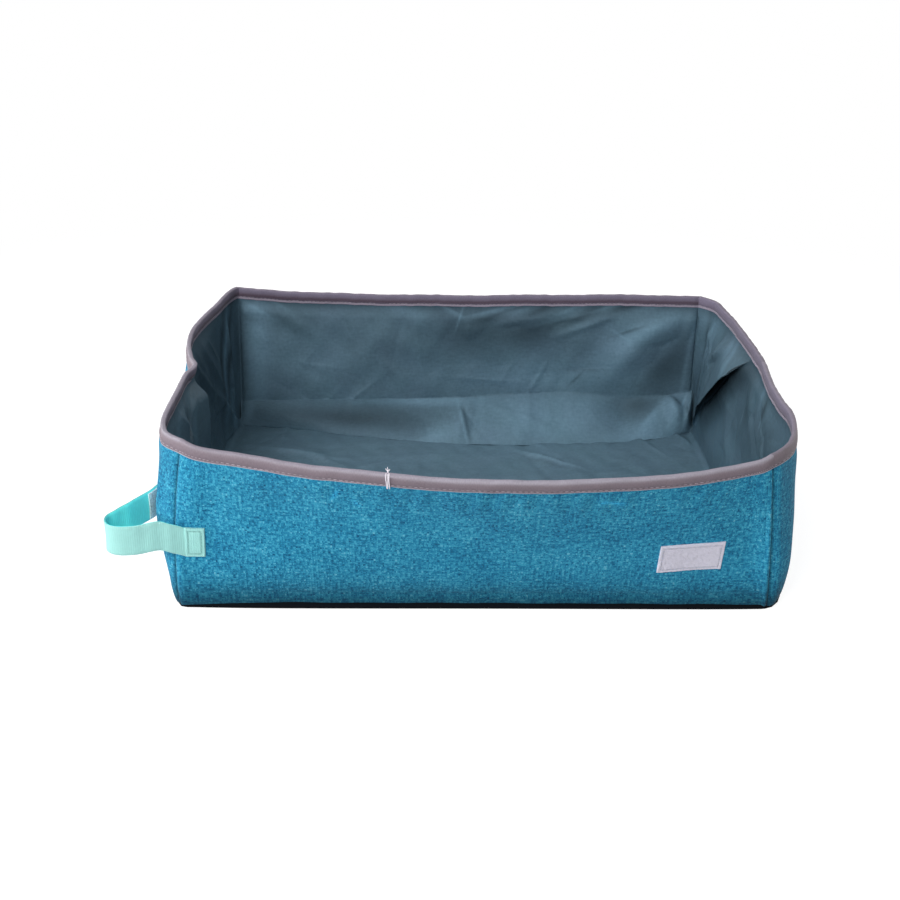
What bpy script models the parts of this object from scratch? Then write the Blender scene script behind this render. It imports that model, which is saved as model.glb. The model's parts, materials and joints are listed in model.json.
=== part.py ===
# Foldable travel litter tray: cloth box with foam in its walls, gusseted ends that
# fold inwards, front and back walls that fold down over them, and a webbing strap.
# Frame: origin at the centre of the underside, +X right, -Y front, +Z up, metres.

import math

import bmesh
import bpy
from mathutils import Vector

for old_object in list(bpy.data.objects):
    bpy.data.objects.remove(old_object, do_unlink=True)

# Tray
TRAY_LENGTH = 0.400
TRAY_WIDTH = 0.300
TRAY_HEIGHT = 0.120
LONG_WALL_LEAN = 0.007
FRONT_RIM_BOW = 0.034
FRONT_RIM_DIP = 0.0075
BACK_RIM_BOW = 0.002
BACK_RIM_DIP = 0.001
END_RIM_LEAN = 0.010

# Layers of a wall, from outside to inside
SHELL_THICKNESS = 0.0008
FOAM_THICKNESS = 0.0020
LINER_THICKNESS = 0.0006
PIECE_GAP = 0.0003

# Fold lines
LONG_WALL_RISER = 0.012
FOAM_SET_BACK = 0.003
GUSSET_HINGE_CLEARANCE = 0.0003

# Rim binding
BINDING_HEIGHT = 0.009
BINDING_THICKNESS = 0.0006

# Closing strap
STRAP_WIDTH = 0.021
STRAP_THICKNESS = 0.0015
STRAP_CENTRE_HEIGHT = 0.050
STRAP_SEWN_LENGTH = 0.012
STRAP_SEWN_FROM_CORNER = 0.021
STRAP_LOOP_REACH = 0.0445
STRAP_LOOP_RADIUS = 0.0065
STRAP_END_FROM_CORNER = 0.088
STRAP_RETURN_ANGLE_DEG = 54.0
STRAP_HINGE_CLEARANCE = 0.0003
HOOK_TAPE_LENGTH = 0.060
HOOK_TAPE_WIDTH = 0.019
HOOK_TAPE_THICKNESS = 0.0012

# Closing patch on the front
PATCH_LENGTH = 0.042
PATCH_WIDTH = 0.020
PATCH_THICKNESS = 0.0012
PATCH_CENTRE_FROM_CORNER = 0.0665
PATCH_CENTRE_HEIGHT = 0.0435
PATCH_TILT_DEG = 5.8

# Sewing thread
THREAD_THICKNESS = 0.0006
STITCH_INSET = 0.0020

# Whipped join of the binding
JOIN_FROM_CORNER = 0.138
JOIN_WIDTH = 0.0030

# How finely curved pieces are divided
FRONT_STATIONS = 24
FRONT_LEVELS = 6
BACK_STATIONS = 6
BACK_LEVELS = 2
PATCH_STATIONS = 4
STRAP_RUN_STEPS = 4
STRAP_TURN_STEPS = 8
STRAP_RETURN_STEPS = 10

# Places worked out from the sizes above
half_length = TRAY_LENGTH / 2
half_width = TRAY_WIDTH / 2
foam_start = SHELL_THICKNESS + PIECE_GAP
liner_start = foam_start + FOAM_THICKNESS + PIECE_GAP
wall_thickness = liner_start + LINER_THICKNESS
gusset_liner_start = SHELL_THICKNESS + PIECE_GAP
gusset_thickness = gusset_liner_start + LINER_THICKNESS
end_pivot_height = wall_thickness + 1.5 * PIECE_GAP
inside_half_length = half_length - wall_thickness
inside_half_width = half_width - wall_thickness
long_wall_bottom = LONG_WALL_RISER + PIECE_GAP / 2
long_wall_rise = TRAY_HEIGHT - LONG_WALL_RISER
gusset_side = TRAY_HEIGHT - end_pivot_height
binding_reach = BINDING_THICKNESS + PIECE_GAP
seam_clearance = binding_reach + PIECE_GAP


# Make a Principled material
def make_material(name, colour, roughness, metallic=0.0):
    material = bpy.data.materials.new(name)
    material.use_nodes = True
    shader = material.node_tree.nodes["Principled BSDF"]
    shader.inputs["Base Color"].default_value = (*colour, 1.0)
    shader.inputs["Roughness"].default_value = roughness
    shader.inputs["Metallic"].default_value = metallic
    material.diffuse_color = (*colour, 1.0)
    return material


shell_cloth = make_material("shell_cloth", (0.045, 0.25, 0.40), 0.85)
dark_cloth = make_material("dark_cloth", (0.012, 0.014, 0.018), 0.9)
foam_sheet = make_material("foam_sheet", (0.75, 0.76, 0.78), 0.95)
coated_liner = make_material("coated_liner", (0.10, 0.16, 0.20), 0.5)
binding_tape = make_material("binding_tape", (0.33, 0.29, 0.34), 0.8)
mint_webbing = make_material("mint_webbing", (0.30, 0.72, 0.68), 0.8)
hook_face = make_material("hook_face", (0.42, 0.55, 0.62), 0.7)
loop_pile = make_material("loop_pile", (0.62, 0.60, 0.70), 0.95)
pale_thread = make_material("pale_thread", (0.80, 0.74, 0.80), 0.7)


# World places of the bodies' empties
pivot_places = {}


# A body's empty, which stands on its joint's axis
def make_pivot(name, place, parent=None):
    pivot = bpy.data.objects.new(name, None)
    bpy.context.collection.objects.link(pivot)
    pivot.parent = parent
    parent_place = pivot_places[parent.name] if parent else Vector((0, 0, 0))
    pivot.location = Vector(place) - parent_place
    pivot_places[name] = Vector(place)
    return pivot


# Turn a bmesh in world coordinates into a named node that hangs on its pivot
def finish_node(name, shape, material, pivot):
    bmesh.ops.recalc_face_normals(shape, faces=shape.faces)
    bmesh.ops.translate(shape, verts=shape.verts, vec=-pivot_places[pivot.name])
    mesh = bpy.data.meshes.new(name)
    shape.to_mesh(mesh)
    shape.free()
    mesh.materials.append(material)
    node = bpy.data.objects.new(name, mesh)
    bpy.context.collection.objects.link(node)
    node.parent = pivot
    return node


# Join the outlines in turn with triangles, and cap both ends unless the row closes.
# Each quad is split from its lower corner on one outline to its upper corner on the
# next, so that layers which follow each other stay parallel.
def loft(name, outlines, material, pivot, closed=False):
    shape = bmesh.new()
    rings = [[shape.verts.new(point) for point in outline] for outline in outlines]
    ring_pairs = list(zip(rings, rings[1:]))
    if closed:
        ring_pairs.append((rings[-1], rings[0]))
    for near, far in ring_pairs:
        for index in range(len(near)):
            following = (index + 1) % len(near)
            if near[index].co.z < near[following].co.z:
                shape.faces.new((near[index], near[following], far[following]))
                shape.faces.new((near[index], far[following], far[index]))
            else:
                shape.faces.new((near[index], near[following], far[index]))
                shape.faces.new((near[following], far[following], far[index]))
    if not closed:
        shape.faces.new(rings[0])
        shape.faces.new(reversed(rings[-1]))
    return finish_node(name, shape, material, pivot)


# An axis-aligned block between two corners, as a bmesh
def block(low, high):
    shape = bmesh.new()
    bmesh.ops.create_cube(shape, size=1)
    size = Vector(high) - Vector(low)
    middle = (Vector(high) + Vector(low)) / 2
    bmesh.ops.scale(shape, verts=shape.verts, vec=size)
    bmesh.ops.translate(shape, verts=shape.verts, vec=middle)
    return shape


# Cut one block out of a node with a Boolean modifier
def cut_block(node, low, high):
    cutter_mesh = bpy.data.meshes.new(node.name + "_cutter")
    shape = block(low, high)
    shape.to_mesh(cutter_mesh)
    shape.free()
    cutter = bpy.data.objects.new(node.name + "_cutter", cutter_mesh)
    bpy.context.collection.objects.link(cutter)
    cutter.hide_render = True
    cutter.display_type = "WIRE"
    modifier = node.modifiers.new("cut", "BOOLEAN")
    modifier.operation = "DIFFERENCE"
    modifier.solver = "EXACT"
    modifier.object = cutter


# Long walls: side is -1 at the front and +1 at the back. A point on one is given by
# its x, how far it lies in from the outer face, and its height.
def long_wall_spread(side, x):
    bow = FRONT_RIM_BOW if side < 0 else BACK_RIM_BOW
    return LONG_WALL_LEAN + bow * (1 - (x / half_length) ** 2)


def long_wall_point(side, x, depth, height):
    rise_share = max(0, (height - LONG_WALL_RISER) / long_wall_rise)
    outwards = half_width + long_wall_spread(side, x) * rise_share
    return Vector((x, side * (outwards - depth), height))


def long_wall_top(side, x):
    dip = FRONT_RIM_DIP if side < 0 else BACK_RIM_DIP
    return TRAY_HEIGHT - dip * (1 - (x / half_length) ** 2)


# Evenly spaced values from the first to the last
def spaced(first, last, steps):
    return [first + (last - first) * step / steps for step in range(steps + 1)]


# One layer of a long wall, set back from the wall's edges by an inset
def long_wall_layer(name, side, start, thickness, inset, material, pivot):
    stations = FRONT_STATIONS if side < 0 else BACK_STATIONS
    levels = FRONT_LEVELS if side < 0 else BACK_LEVELS
    outlines = []
    for x in spaced(-half_length + inset, half_length - inset, stations):
        heights = spaced(long_wall_bottom + inset, long_wall_top(side, x) - inset, levels)
        outer = [long_wall_point(side, x, start, z) for z in heights]
        inner = [long_wall_point(side, x, start + thickness, z) for z in heights]
        outlines.append(outer + inner[::-1])
    return loft(name, outlines, material, pivot)


# The section of the binding: a channel that straddles a wall's rim
def channel_outline(place, top, thickness, inner_reach, outer_reach):
    low = top - BINDING_HEIGHT
    corners = [
        (-outer_reach, low),
        (-outer_reach, top + outer_reach),
        (thickness + outer_reach, top + outer_reach),
        (thickness + outer_reach, low),
        (thickness + inner_reach, low),
        (thickness + inner_reach, top + inner_reach),
        (-inner_reach, top + inner_reach),
        (-inner_reach, low),
    ]
    return [place(depth, height) for depth, height in corners]


def long_wall_binding(name, side, pivot):
    stations = FRONT_STATIONS if side < 0 else BACK_STATIONS
    outlines = []
    for x in spaced(-half_length, half_length, stations):
        def place(depth, height, x=x):
            return long_wall_point(side, x, depth, height)
        top = long_wall_top(side, x)
        outlines.append(channel_outline(place, top, wall_thickness, PIECE_GAP, binding_reach))
    return loft(name, outlines, binding_tape, pivot)


# End walls: side is -1 at the left and +1 at the right. The middle panel leans out,
# and each gusset is the flat triangle between the corner seam and the 45 degree fold.
def seam_y(height):
    rise = (height - end_pivot_height) / gusset_side
    return inside_half_width + LONG_WALL_LEAN * rise


def diagonal_y(height):
    return inside_half_width - (height - end_pivot_height)


def middle_panel_point(side, y, depth, height):
    lean = END_RIM_LEAN * (height - end_pivot_height) / gusset_side
    return Vector((side * (half_length + lean - depth), y, height))


def gusset_point(side, y, depth, height):
    from_seam = (seam_y(height) - abs(y)) / (gusset_side + LONG_WALL_LEAN)
    return Vector((side * (half_length + END_RIM_LEAN * from_seam - depth), y, height))


# Move every side of a convex outline in the (y, height) plane inwards
def inset_outline(outline, distance):
    middle = sum((Vector(point) for point in outline), Vector((0, 0))) / len(outline)
    moved_sides = []
    for index, point in enumerate(outline):
        start = Vector(point)
        along = (Vector(outline[(index + 1) % len(outline)]) - start).normalized()
        inwards = Vector((-along.y, along.x))
        if inwards.dot(middle - start) < 0:
            inwards = -inwards
        moved_sides.append((start + inwards * distance, along))
    corners = []
    for index, (start, along) in enumerate(moved_sides):
        before, before_along = moved_sides[index - 1]
        crossing = before_along.cross(along)
        reach = (start - before).cross(along) / crossing
        corners.append(before + before_along * reach)
    return corners


# A plate of an end wall: an outline in the (y, height) plane laid on its surface
def end_plate(name, outline, surface, side, start, thickness, material, pivot):
    outer = [surface(side, y, start, z) for y, z in outline]
    inner = [surface(side, y, start + thickness, z) for y, z in outline]
    return loft(name, [outer, inner], material, pivot)


middle_panel_outline = [
    (-inside_half_width, end_pivot_height),
    (inside_half_width, end_pivot_height),
    (diagonal_y(TRAY_HEIGHT), TRAY_HEIGHT),
    (-diagonal_y(TRAY_HEIGHT), TRAY_HEIGHT),
]


# The gusset's lowest point is where its fold meets the line that clears the long wall
def gusset_outline(front_or_back):
    low = end_pivot_height + seam_clearance / (1 + LONG_WALL_LEAN / gusset_side)
    corners = [
        (diagonal_y(low), low),
        (seam_y(TRAY_HEIGHT) - seam_clearance, TRAY_HEIGHT),
        (diagonal_y(TRAY_HEIGHT), TRAY_HEIGHT),
    ]
    return [(front_or_back * y, z) for y, z in corners]


# The binding on an end wall's rim, between two edges that are given as y by height
def end_binding(name, side, surface, first_edge, last_edge, thickness, pivot):
    outlines = []
    for edge in (first_edge, last_edge):
        def place(depth, height, edge=edge):
            return surface(side, edge(height), depth, height)
        outlines.append(channel_outline(place, TRAY_HEIGHT, thickness, PIECE_GAP, binding_reach))
    return loft(name, outlines, binding_tape, pivot)


# A place on the front: along and up from a centre, turned by a tilt, off the face
def front_place(centre, tilt, along, up, depth):
    x = centre[0] + along * math.cos(tilt) - up * math.sin(tilt)
    height = centre[1] + along * math.sin(tilt) + up * math.cos(tilt)
    return long_wall_point(-1, x, depth, height)


# A flat piece sewn to the front
def front_sheet(name, centre, tilt, length, width, gap, thickness, material, pivot):
    outlines = []
    for along in spaced(-length / 2, length / 2, PATCH_STATIONS):
        corners = [
            (-width / 2, -gap - thickness),
            (width / 2, -gap - thickness),
            (width / 2, -gap),
            (-width / 2, -gap),
        ]
        outlines.append([front_place(centre, tilt, along, up, depth) for up, depth in corners])
    return loft(name, outlines, material, pivot)


# A rectangle of thread on a flat piece of the front
def front_stitching(name, centre, tilt, length, width, gap, pivot):
    outlines = []
    for along_sign, up_sign in ((-1, -1), (1, -1), (1, 1), (-1, 1)):
        outline = []
        for outwards, depth in (
            (0, -gap),
            (THREAD_THICKNESS, -gap),
            (THREAD_THICKNESS, -gap - THREAD_THICKNESS),
            (0, -gap - THREAD_THICKNESS),
        ):
            along = along_sign * (length / 2 - STITCH_INSET - outwards)
            up = up_sign * (width / 2 - STITCH_INSET - outwards)
            outline.append(front_place(centre, tilt, along, up, depth))
        outlines.append(outline)
    return loft(name, outlines, pale_thread, pivot, closed=True)


# Strap path in plan, from the stitching round the loop to the free end
strap_sewn_centre_x = -(half_length - STRAP_SEWN_FROM_CORNER + STRAP_SEWN_LENGTH / 2)
strap_start_x = strap_sewn_centre_x - STRAP_SEWN_LENGTH / 2 - PIECE_GAP
strap_top = STRAP_CENTRE_HEIGHT + STRAP_WIDTH / 2
strap_depth = -PIECE_GAP - STRAP_THICKNESS / 2
strap_start = long_wall_point(-1, strap_start_x, strap_depth, STRAP_CENTRE_HEIGHT)
strap_hinge_depth = strap_depth - STRAP_THICKNESS / 2 - STRAP_HINGE_CLEARANCE
strap_hinge = long_wall_point(-1, strap_start_x, strap_hinge_depth, STRAP_CENTRE_HEIGHT)


def strap_path():
    turn_centre = Vector((
        -(half_length + STRAP_LOOP_REACH) + STRAP_THICKNESS / 2 + STRAP_LOOP_RADIUS,
        strap_start.y + STRAP_LOOP_RADIUS,
    ))
    points = [Vector((x, strap_start.y))
              for x in spaced(strap_start.x, turn_centre.x, STRAP_RUN_STEPS)]
    return_angle = math.radians(STRAP_RETURN_ANGLE_DEG)
    for angle in spaced(-math.pi / 2, -math.pi - (math.pi / 2 - return_angle), STRAP_TURN_STEPS)[1:]:
        around = Vector((math.cos(angle), math.sin(angle)))
        points.append(turn_centre + around * STRAP_LOOP_RADIUS)
    end_y = -half_width + STRAP_END_FROM_CORNER
    wall = middle_panel_point(-1, end_y, 0, strap_top)
    clearance = STRAP_THICKNESS / 2 + HOOK_TAPE_THICKNESS + 2 * PIECE_GAP
    first = points[-1]
    last = Vector((wall.x - clearance, end_y))
    reach = (last - first).length / 3
    first_handle = first + reach * Vector((math.cos(return_angle), math.sin(return_angle)))
    last_handle = last - reach * Vector((0, 1))
    for share in spaced(0, 1, STRAP_RETURN_STEPS)[1:]:
        rest = 1 - share
        points.append(
            first * rest**3
            + first_handle * (3 * rest**2 * share)
            + last_handle * (3 * rest * share**2)
            + last * share**3
        )
    return points


# The last stretch of a path, of the given length
def path_end(points, length):
    kept = [points[-1]]
    left = length
    for nearer, further in zip(points[-2::-1], points[::-1]):
        step = (further - nearer).length
        if step >= left:
            kept.append(further + (nearer - further) * (left / step))
            break
        kept.append(nearer)
        left -= step
    return kept[::-1]


# A band that stands on edge along a path in plan, between two offsets to its inner side.
# It starts with the wall's lean and stands upright by the end of its first run.
def band(name, points, width, near, far, leaning, material, pivot):
    low_point = long_wall_point(-1, strap_start.x, 0, STRAP_CENTRE_HEIGHT - width / 2)
    high_point = long_wall_point(-1, strap_start.x, 0, STRAP_CENTRE_HEIGHT + width / 2)
    lean_slope = (high_point.y - low_point.y) / width
    outlines = []
    for index, point in enumerate(points):
        before = points[max(index - 1, 0)]
        after = points[min(index + 1, len(points) - 1)]
        heading = (after - before).normalized()
        inner_side = Vector((heading.y, -heading.x))
        lean_share = max(0, 1 - index / STRAP_RUN_STEPS) if leaning else 0
        outline = []
        for offset, up in ((near, -width / 2), (near, width / 2),
                           (far, width / 2), (far, -width / 2)):
            place = point + inner_side * offset
            leaned_y = place.y + lean_slope * up * lean_share
            outline.append(Vector((place.x, leaned_y, STRAP_CENTRE_HEIGHT + up)))
        outlines.append(outline)
    return loft(name, outlines, material, pivot)


# Bodies, each on its joint's axis
side_names = {-1: "left", 1: "right"}
wall_names = {-1: "front", 1: "back"}
base_body = make_pivot("base_body", (0, 0, 0))
long_wall_bodies = {}
end_bodies = {}
gusset_bodies = {}
for side in (-1, 1):
    long_wall_bodies[side] = make_pivot(
        wall_names[side] + "_wall_body", (0, side * inside_half_width, LONG_WALL_RISER), base_body
    )
    end_bodies[side] = make_pivot(
        side_names[side] + "_end_body", (side * inside_half_length, 0, end_pivot_height), base_body
    )
for side in (-1, 1):
    for front_or_back in (-1, 1):
        hinge_x = side * (half_length + GUSSET_HINGE_CLEARANCE)
        hinge_place = (hinge_x, front_or_back * inside_half_width, end_pivot_height)
        name = wall_names[front_or_back] + "_" + side_names[side] + "_gusset_body"
        gusset_bodies[side, front_or_back] = make_pivot(name, hinge_place, end_bodies[side])
strap_body = make_pivot("strap_body", strap_hinge, long_wall_bodies[-1])

# Base: dark underside cloth turned up at its edges, the skirts that the shell cloth
# makes below the fold lines of the long walls, foam, and liner turned up front and back
edge_height = end_pivot_height - PIECE_GAP / 2
skirt_top = LONG_WALL_RISER - PIECE_GAP / 2
base_shell = finish_node(
    "base_shell",
    block((-half_length, -half_width, 0), (half_length, half_width, edge_height)),
    dark_cloth,
    base_body,
)
cut_block(
    base_shell,
    (-half_length + SHELL_THICKNESS, -half_width + SHELL_THICKNESS, SHELL_THICKNESS),
    (half_length - SHELL_THICKNESS, half_width - SHELL_THICKNESS, TRAY_HEIGHT),
)
for side in (-1, 1):
    outer_y = side * half_width
    inner_y = side * (half_width - SHELL_THICKNESS)
    finish_node(
        wall_names[side] + "_skirt",
        block(
            (-half_length, min(outer_y, inner_y), edge_height + PIECE_GAP),
            (half_length, max(outer_y, inner_y), skirt_top),
        ),
        shell_cloth,
        base_body,
    )
foam_half_length = half_length - foam_start - FOAM_SET_BACK
foam_half_width = half_width - foam_start - FOAM_SET_BACK
finish_node(
    "base_foam",
    block(
        (-foam_half_length, -foam_half_width, foam_start),
        (foam_half_length, foam_half_width, foam_start + FOAM_THICKNESS),
    ),
    foam_sheet,
    base_body,
)
liner_half_length = half_length - foam_start
base_liner = finish_node(
    "base_liner",
    block(
        (-liner_half_length, -inside_half_width - LINER_THICKNESS, liner_start),
        (liner_half_length, inside_half_width + LINER_THICKNESS, skirt_top),
    ),
    coated_liner,
    base_body,
)
cut_block(
    base_liner,
    (-TRAY_LENGTH, -inside_half_width, wall_thickness),
    (TRAY_LENGTH, inside_half_width, TRAY_HEIGHT),
)

# Front and back walls
for side in (-1, 1):
    wall = wall_names[side]
    body = long_wall_bodies[side]
    long_wall_layer(wall + "_shell", side, 0, SHELL_THICKNESS, 0, shell_cloth, body)
    long_wall_layer(wall + "_foam", side, foam_start, FOAM_THICKNESS, FOAM_SET_BACK, foam_sheet, body)
    long_wall_layer(wall + "_liner", side, liner_start, LINER_THICKNESS, 0, coated_liner, body)
    long_wall_binding(wall + "_binding", side, body)

# End walls: the stiffened middle panel and its two soft gussets
for side in (-1, 1):
    end = side_names[side]
    body = end_bodies[side]
    outline = inset_outline(middle_panel_outline, PIECE_GAP / 2)
    foam_outline = inset_outline(middle_panel_outline, FOAM_SET_BACK)
    end_plate(end + "_end_shell", outline, middle_panel_point, side,
              0, SHELL_THICKNESS, shell_cloth, body)
    end_plate(end + "_end_foam", foam_outline, middle_panel_point, side,
              foam_start, FOAM_THICKNESS, foam_sheet, body)
    end_plate(end + "_end_liner", outline, middle_panel_point, side,
              liner_start, LINER_THICKNESS, coated_liner, body)

    def panel_edge(height, front_or_back):
        return front_or_back * (diagonal_y(height) - PIECE_GAP)

    end_binding(end + "_end_binding", side, middle_panel_point,
                lambda height: panel_edge(height, -1),
                lambda height: panel_edge(height, 1), wall_thickness, body)
    for front_or_back in (-1, 1):
        gusset = wall_names[front_or_back] + "_" + end + "_gusset"
        body = gusset_bodies[side, front_or_back]
        outline = inset_outline(gusset_outline(front_or_back), PIECE_GAP / 2)
        end_plate(gusset + "_shell", outline, gusset_point, side,
                  0, SHELL_THICKNESS, shell_cloth, body)
        end_plate(gusset + "_liner", outline, gusset_point, side,
                  gusset_liner_start, LINER_THICKNESS, coated_liner, body)
        end_binding(gusset + "_binding", side, gusset_point,
                    lambda height: front_or_back * (seam_y(height) - seam_clearance),
                    lambda height: front_or_back * (diagonal_y(height) + PIECE_GAP),
                    gusset_thickness, body)

# Whipped join of the binding on the front rim
join_x = -half_length + JOIN_FROM_CORNER
join_outlines = []
for x in (join_x - JOIN_WIDTH / 2, join_x + JOIN_WIDTH / 2):
    def join_place(depth, height, x=x):
        return long_wall_point(-1, x, depth, height)
    join_reach = binding_reach + PIECE_GAP
    join_outlines.append(channel_outline(
        join_place, long_wall_top(-1, x), wall_thickness, join_reach, join_reach + THREAD_THICKNESS
    ))
loft("binding_join_thread", join_outlines, pale_thread, long_wall_bodies[-1])

# Strap: sewn end with its box stitch, free loop, hook tape
sewn_centre = (strap_sewn_centre_x, STRAP_CENTRE_HEIGHT)
front_sheet("strap_sewn_end", sewn_centre, 0, STRAP_SEWN_LENGTH, STRAP_WIDTH,
            PIECE_GAP, STRAP_THICKNESS, mint_webbing, long_wall_bodies[-1])
front_stitching("strap_stitching", sewn_centre, 0, STRAP_SEWN_LENGTH, STRAP_WIDTH,
                STRAP_THICKNESS + 2 * PIECE_GAP, long_wall_bodies[-1])
strap_points = strap_path()
band("strap_loop", strap_points, STRAP_WIDTH,
     -STRAP_THICKNESS / 2, STRAP_THICKNESS / 2, True, mint_webbing, strap_body)
hook_near = STRAP_THICKNESS / 2 + PIECE_GAP
band("hook_tape", path_end(strap_points, HOOK_TAPE_LENGTH), HOOK_TAPE_WIDTH,
     hook_near, hook_near + HOOK_TAPE_THICKNESS, False, hook_face, strap_body)

# Patch that the hook tape closes onto
patch_centre = (half_length - PATCH_CENTRE_FROM_CORNER, PATCH_CENTRE_HEIGHT)
patch_tilt = math.radians(PATCH_TILT_DEG)
front_sheet("loop_patch", patch_centre, patch_tilt, PATCH_LENGTH, PATCH_WIDTH,
            PIECE_GAP, PATCH_THICKNESS, loop_pile, long_wall_bodies[-1])
front_stitching("patch_stitching", patch_centre, patch_tilt, PATCH_LENGTH, PATCH_WIDTH,
                PATCH_THICKNESS + 2 * PIECE_GAP, long_wall_bodies[-1])
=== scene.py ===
# Dress of the foldable litter tray: heather cloth outside, crinkled coated liner inside,
# bound rim, mint strap and pale patch. Metres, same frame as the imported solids.
import json
import math

import bpy
import numpy as np
from mathutils import Matrix, Vector


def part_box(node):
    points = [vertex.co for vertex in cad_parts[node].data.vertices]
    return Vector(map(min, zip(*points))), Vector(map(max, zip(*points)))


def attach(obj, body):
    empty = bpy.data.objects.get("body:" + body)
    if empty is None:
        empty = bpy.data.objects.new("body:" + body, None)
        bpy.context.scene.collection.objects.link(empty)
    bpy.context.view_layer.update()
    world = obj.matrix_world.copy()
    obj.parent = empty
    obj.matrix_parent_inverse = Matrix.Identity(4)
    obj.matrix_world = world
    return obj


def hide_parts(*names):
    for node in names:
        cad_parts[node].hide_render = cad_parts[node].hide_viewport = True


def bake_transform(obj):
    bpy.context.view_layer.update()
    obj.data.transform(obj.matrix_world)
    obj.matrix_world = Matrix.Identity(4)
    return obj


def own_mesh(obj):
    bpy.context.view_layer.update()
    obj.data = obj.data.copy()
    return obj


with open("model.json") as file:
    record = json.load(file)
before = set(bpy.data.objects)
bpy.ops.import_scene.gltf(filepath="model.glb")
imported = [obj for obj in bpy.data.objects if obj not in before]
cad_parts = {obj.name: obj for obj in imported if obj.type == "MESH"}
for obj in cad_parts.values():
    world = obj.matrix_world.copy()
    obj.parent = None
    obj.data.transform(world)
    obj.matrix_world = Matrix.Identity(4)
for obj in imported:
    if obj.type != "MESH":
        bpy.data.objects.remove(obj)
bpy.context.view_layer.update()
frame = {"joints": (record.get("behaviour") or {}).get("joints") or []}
jointPlace = {joint["name"]: joint["pos_m"] for joint in frame["joints"]}

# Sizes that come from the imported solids
baseLow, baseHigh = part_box("base_shell")
halfLength = baseHigh.x
halfWidth = baseHigh.y
baseEdgeTop = baseHigh.z
hingeHeight = jointPlace["front_wall_fold"][2]
endHingeHeight = jointPlace["left_end_fold"][2]
wallDepth = halfWidth - abs(jointPlace["front_wall_fold"][1])
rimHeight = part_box("left_end_foam")[1].z + 0.003
clothDepth = 0.0008
linerDepth = 0.0006
foamFrom = 0.0011
foamTo = 0.0031
gussetDepth = 0.0017
print("frame loaded:", round(2 * halfLength, 4), "by", round(2 * halfWidth, 4), "m")


# Camera: place and aim found from the rim and base corners in the photograph
camera = {
    "place": (-0.04792, -0.8522, 0.42697),
    "pitch": 24.094,
    "yaw": 1.938,
    "roll": 1.636,
    "focalPixels": 1229.5,
    "picturePixels": 900,
    "sensor": 36.0,
}


# The camera looks along +Y turned by yaw and tipped down by pitch, then rolls
def makeCamera(facts):
    pitch, yaw, roll = (math.radians(facts[key]) for key in ("pitch", "yaw", "roll"))
    ahead = Vector((math.sin(yaw) * math.cos(pitch), math.cos(yaw) * math.cos(pitch), -math.sin(pitch)))
    level = Vector((math.cos(yaw), -math.sin(yaw), 0))
    above = level.cross(ahead)
    right = level * math.cos(roll) + above * math.sin(roll)
    up = above * math.cos(roll) - level * math.sin(roll)
    data = bpy.data.cameras.new("photoCamera")
    data.sensor_width = facts["sensor"]
    data.lens = facts["focalPixels"] / facts["picturePixels"] * facts["sensor"]
    data.clip_start = 0.01
    eye = bpy.data.objects.new("photoCamera", data)
    bpy.context.scene.collection.objects.link(eye)
    turn = Matrix((right, up, -ahead)).transposed().to_4x4()
    eye.matrix_world = Matrix.Translation(facts["place"]) @ turn
    bpy.context.scene.camera = eye


makeCamera(camera)


# ---- Shader helpers

class Wire:
    # A socket that sums, scales and compares like a number
    def __init__(self, finish, socket):
        self.finish = finish
        self.socket = socket

    def math(self, operation, first, second):
        return self.finish.add("ShaderNodeMath", {"operation": operation}, {0: first, 1: second})

    def __add__(self, other):
        return self.math("ADD", self, other)

    def __radd__(self, other):
        return self.math("ADD", other, self)

    def __sub__(self, other):
        return self.math("SUBTRACT", self, other)

    def __rsub__(self, other):
        return self.math("SUBTRACT", other, self)

    def __mul__(self, other):
        return self.math("MULTIPLY", self, other)

    def __rmul__(self, other):
        return self.math("MULTIPLY", other, self)

    def __truediv__(self, other):
        return self.math("DIVIDE", self, other)

    def __gt__(self, other):
        return self.math("GREATER_THAN", self, other)

    def __pow__(self, other):
        return self.math("POWER", self, other)

    def sine(self):
        return self.math("SINE", self, 0.0)


class Nodes:
    # The node tree of a material or of the world
    def __init__(self, tree):
        self.tree = tree

    # Any node: its type, its settings, then the values or links of its sockets
    def add(self, kind, settings=None, sockets=None, output=0):
        made = self.tree.nodes.new(kind)
        for key, value in (settings or {}).items():
            if key == "stops":
                ramp = made.color_ramp
                while len(ramp.elements) < len(value):
                    ramp.elements.new(1.0)
                for element, (place, colour) in zip(ramp.elements, value):
                    element.position = place
                    element.color = (*colour, 1.0)
            else:
                setattr(made, key, value)
        for key, value in (sockets or {}).items():
            if isinstance(value, Wire):
                self.tree.links.new(value.socket, made.inputs[key])
            else:
                made.inputs[key].default_value = value
        return Wire(self, made.outputs[output])

    # The first two parts of a vector
    def parts(self, vector):
        made = self.add("ShaderNodeSeparateXYZ", None, {0: vector}).socket.node
        return Wire(self, made.outputs[0]), Wire(self, made.outputs[1])


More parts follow.
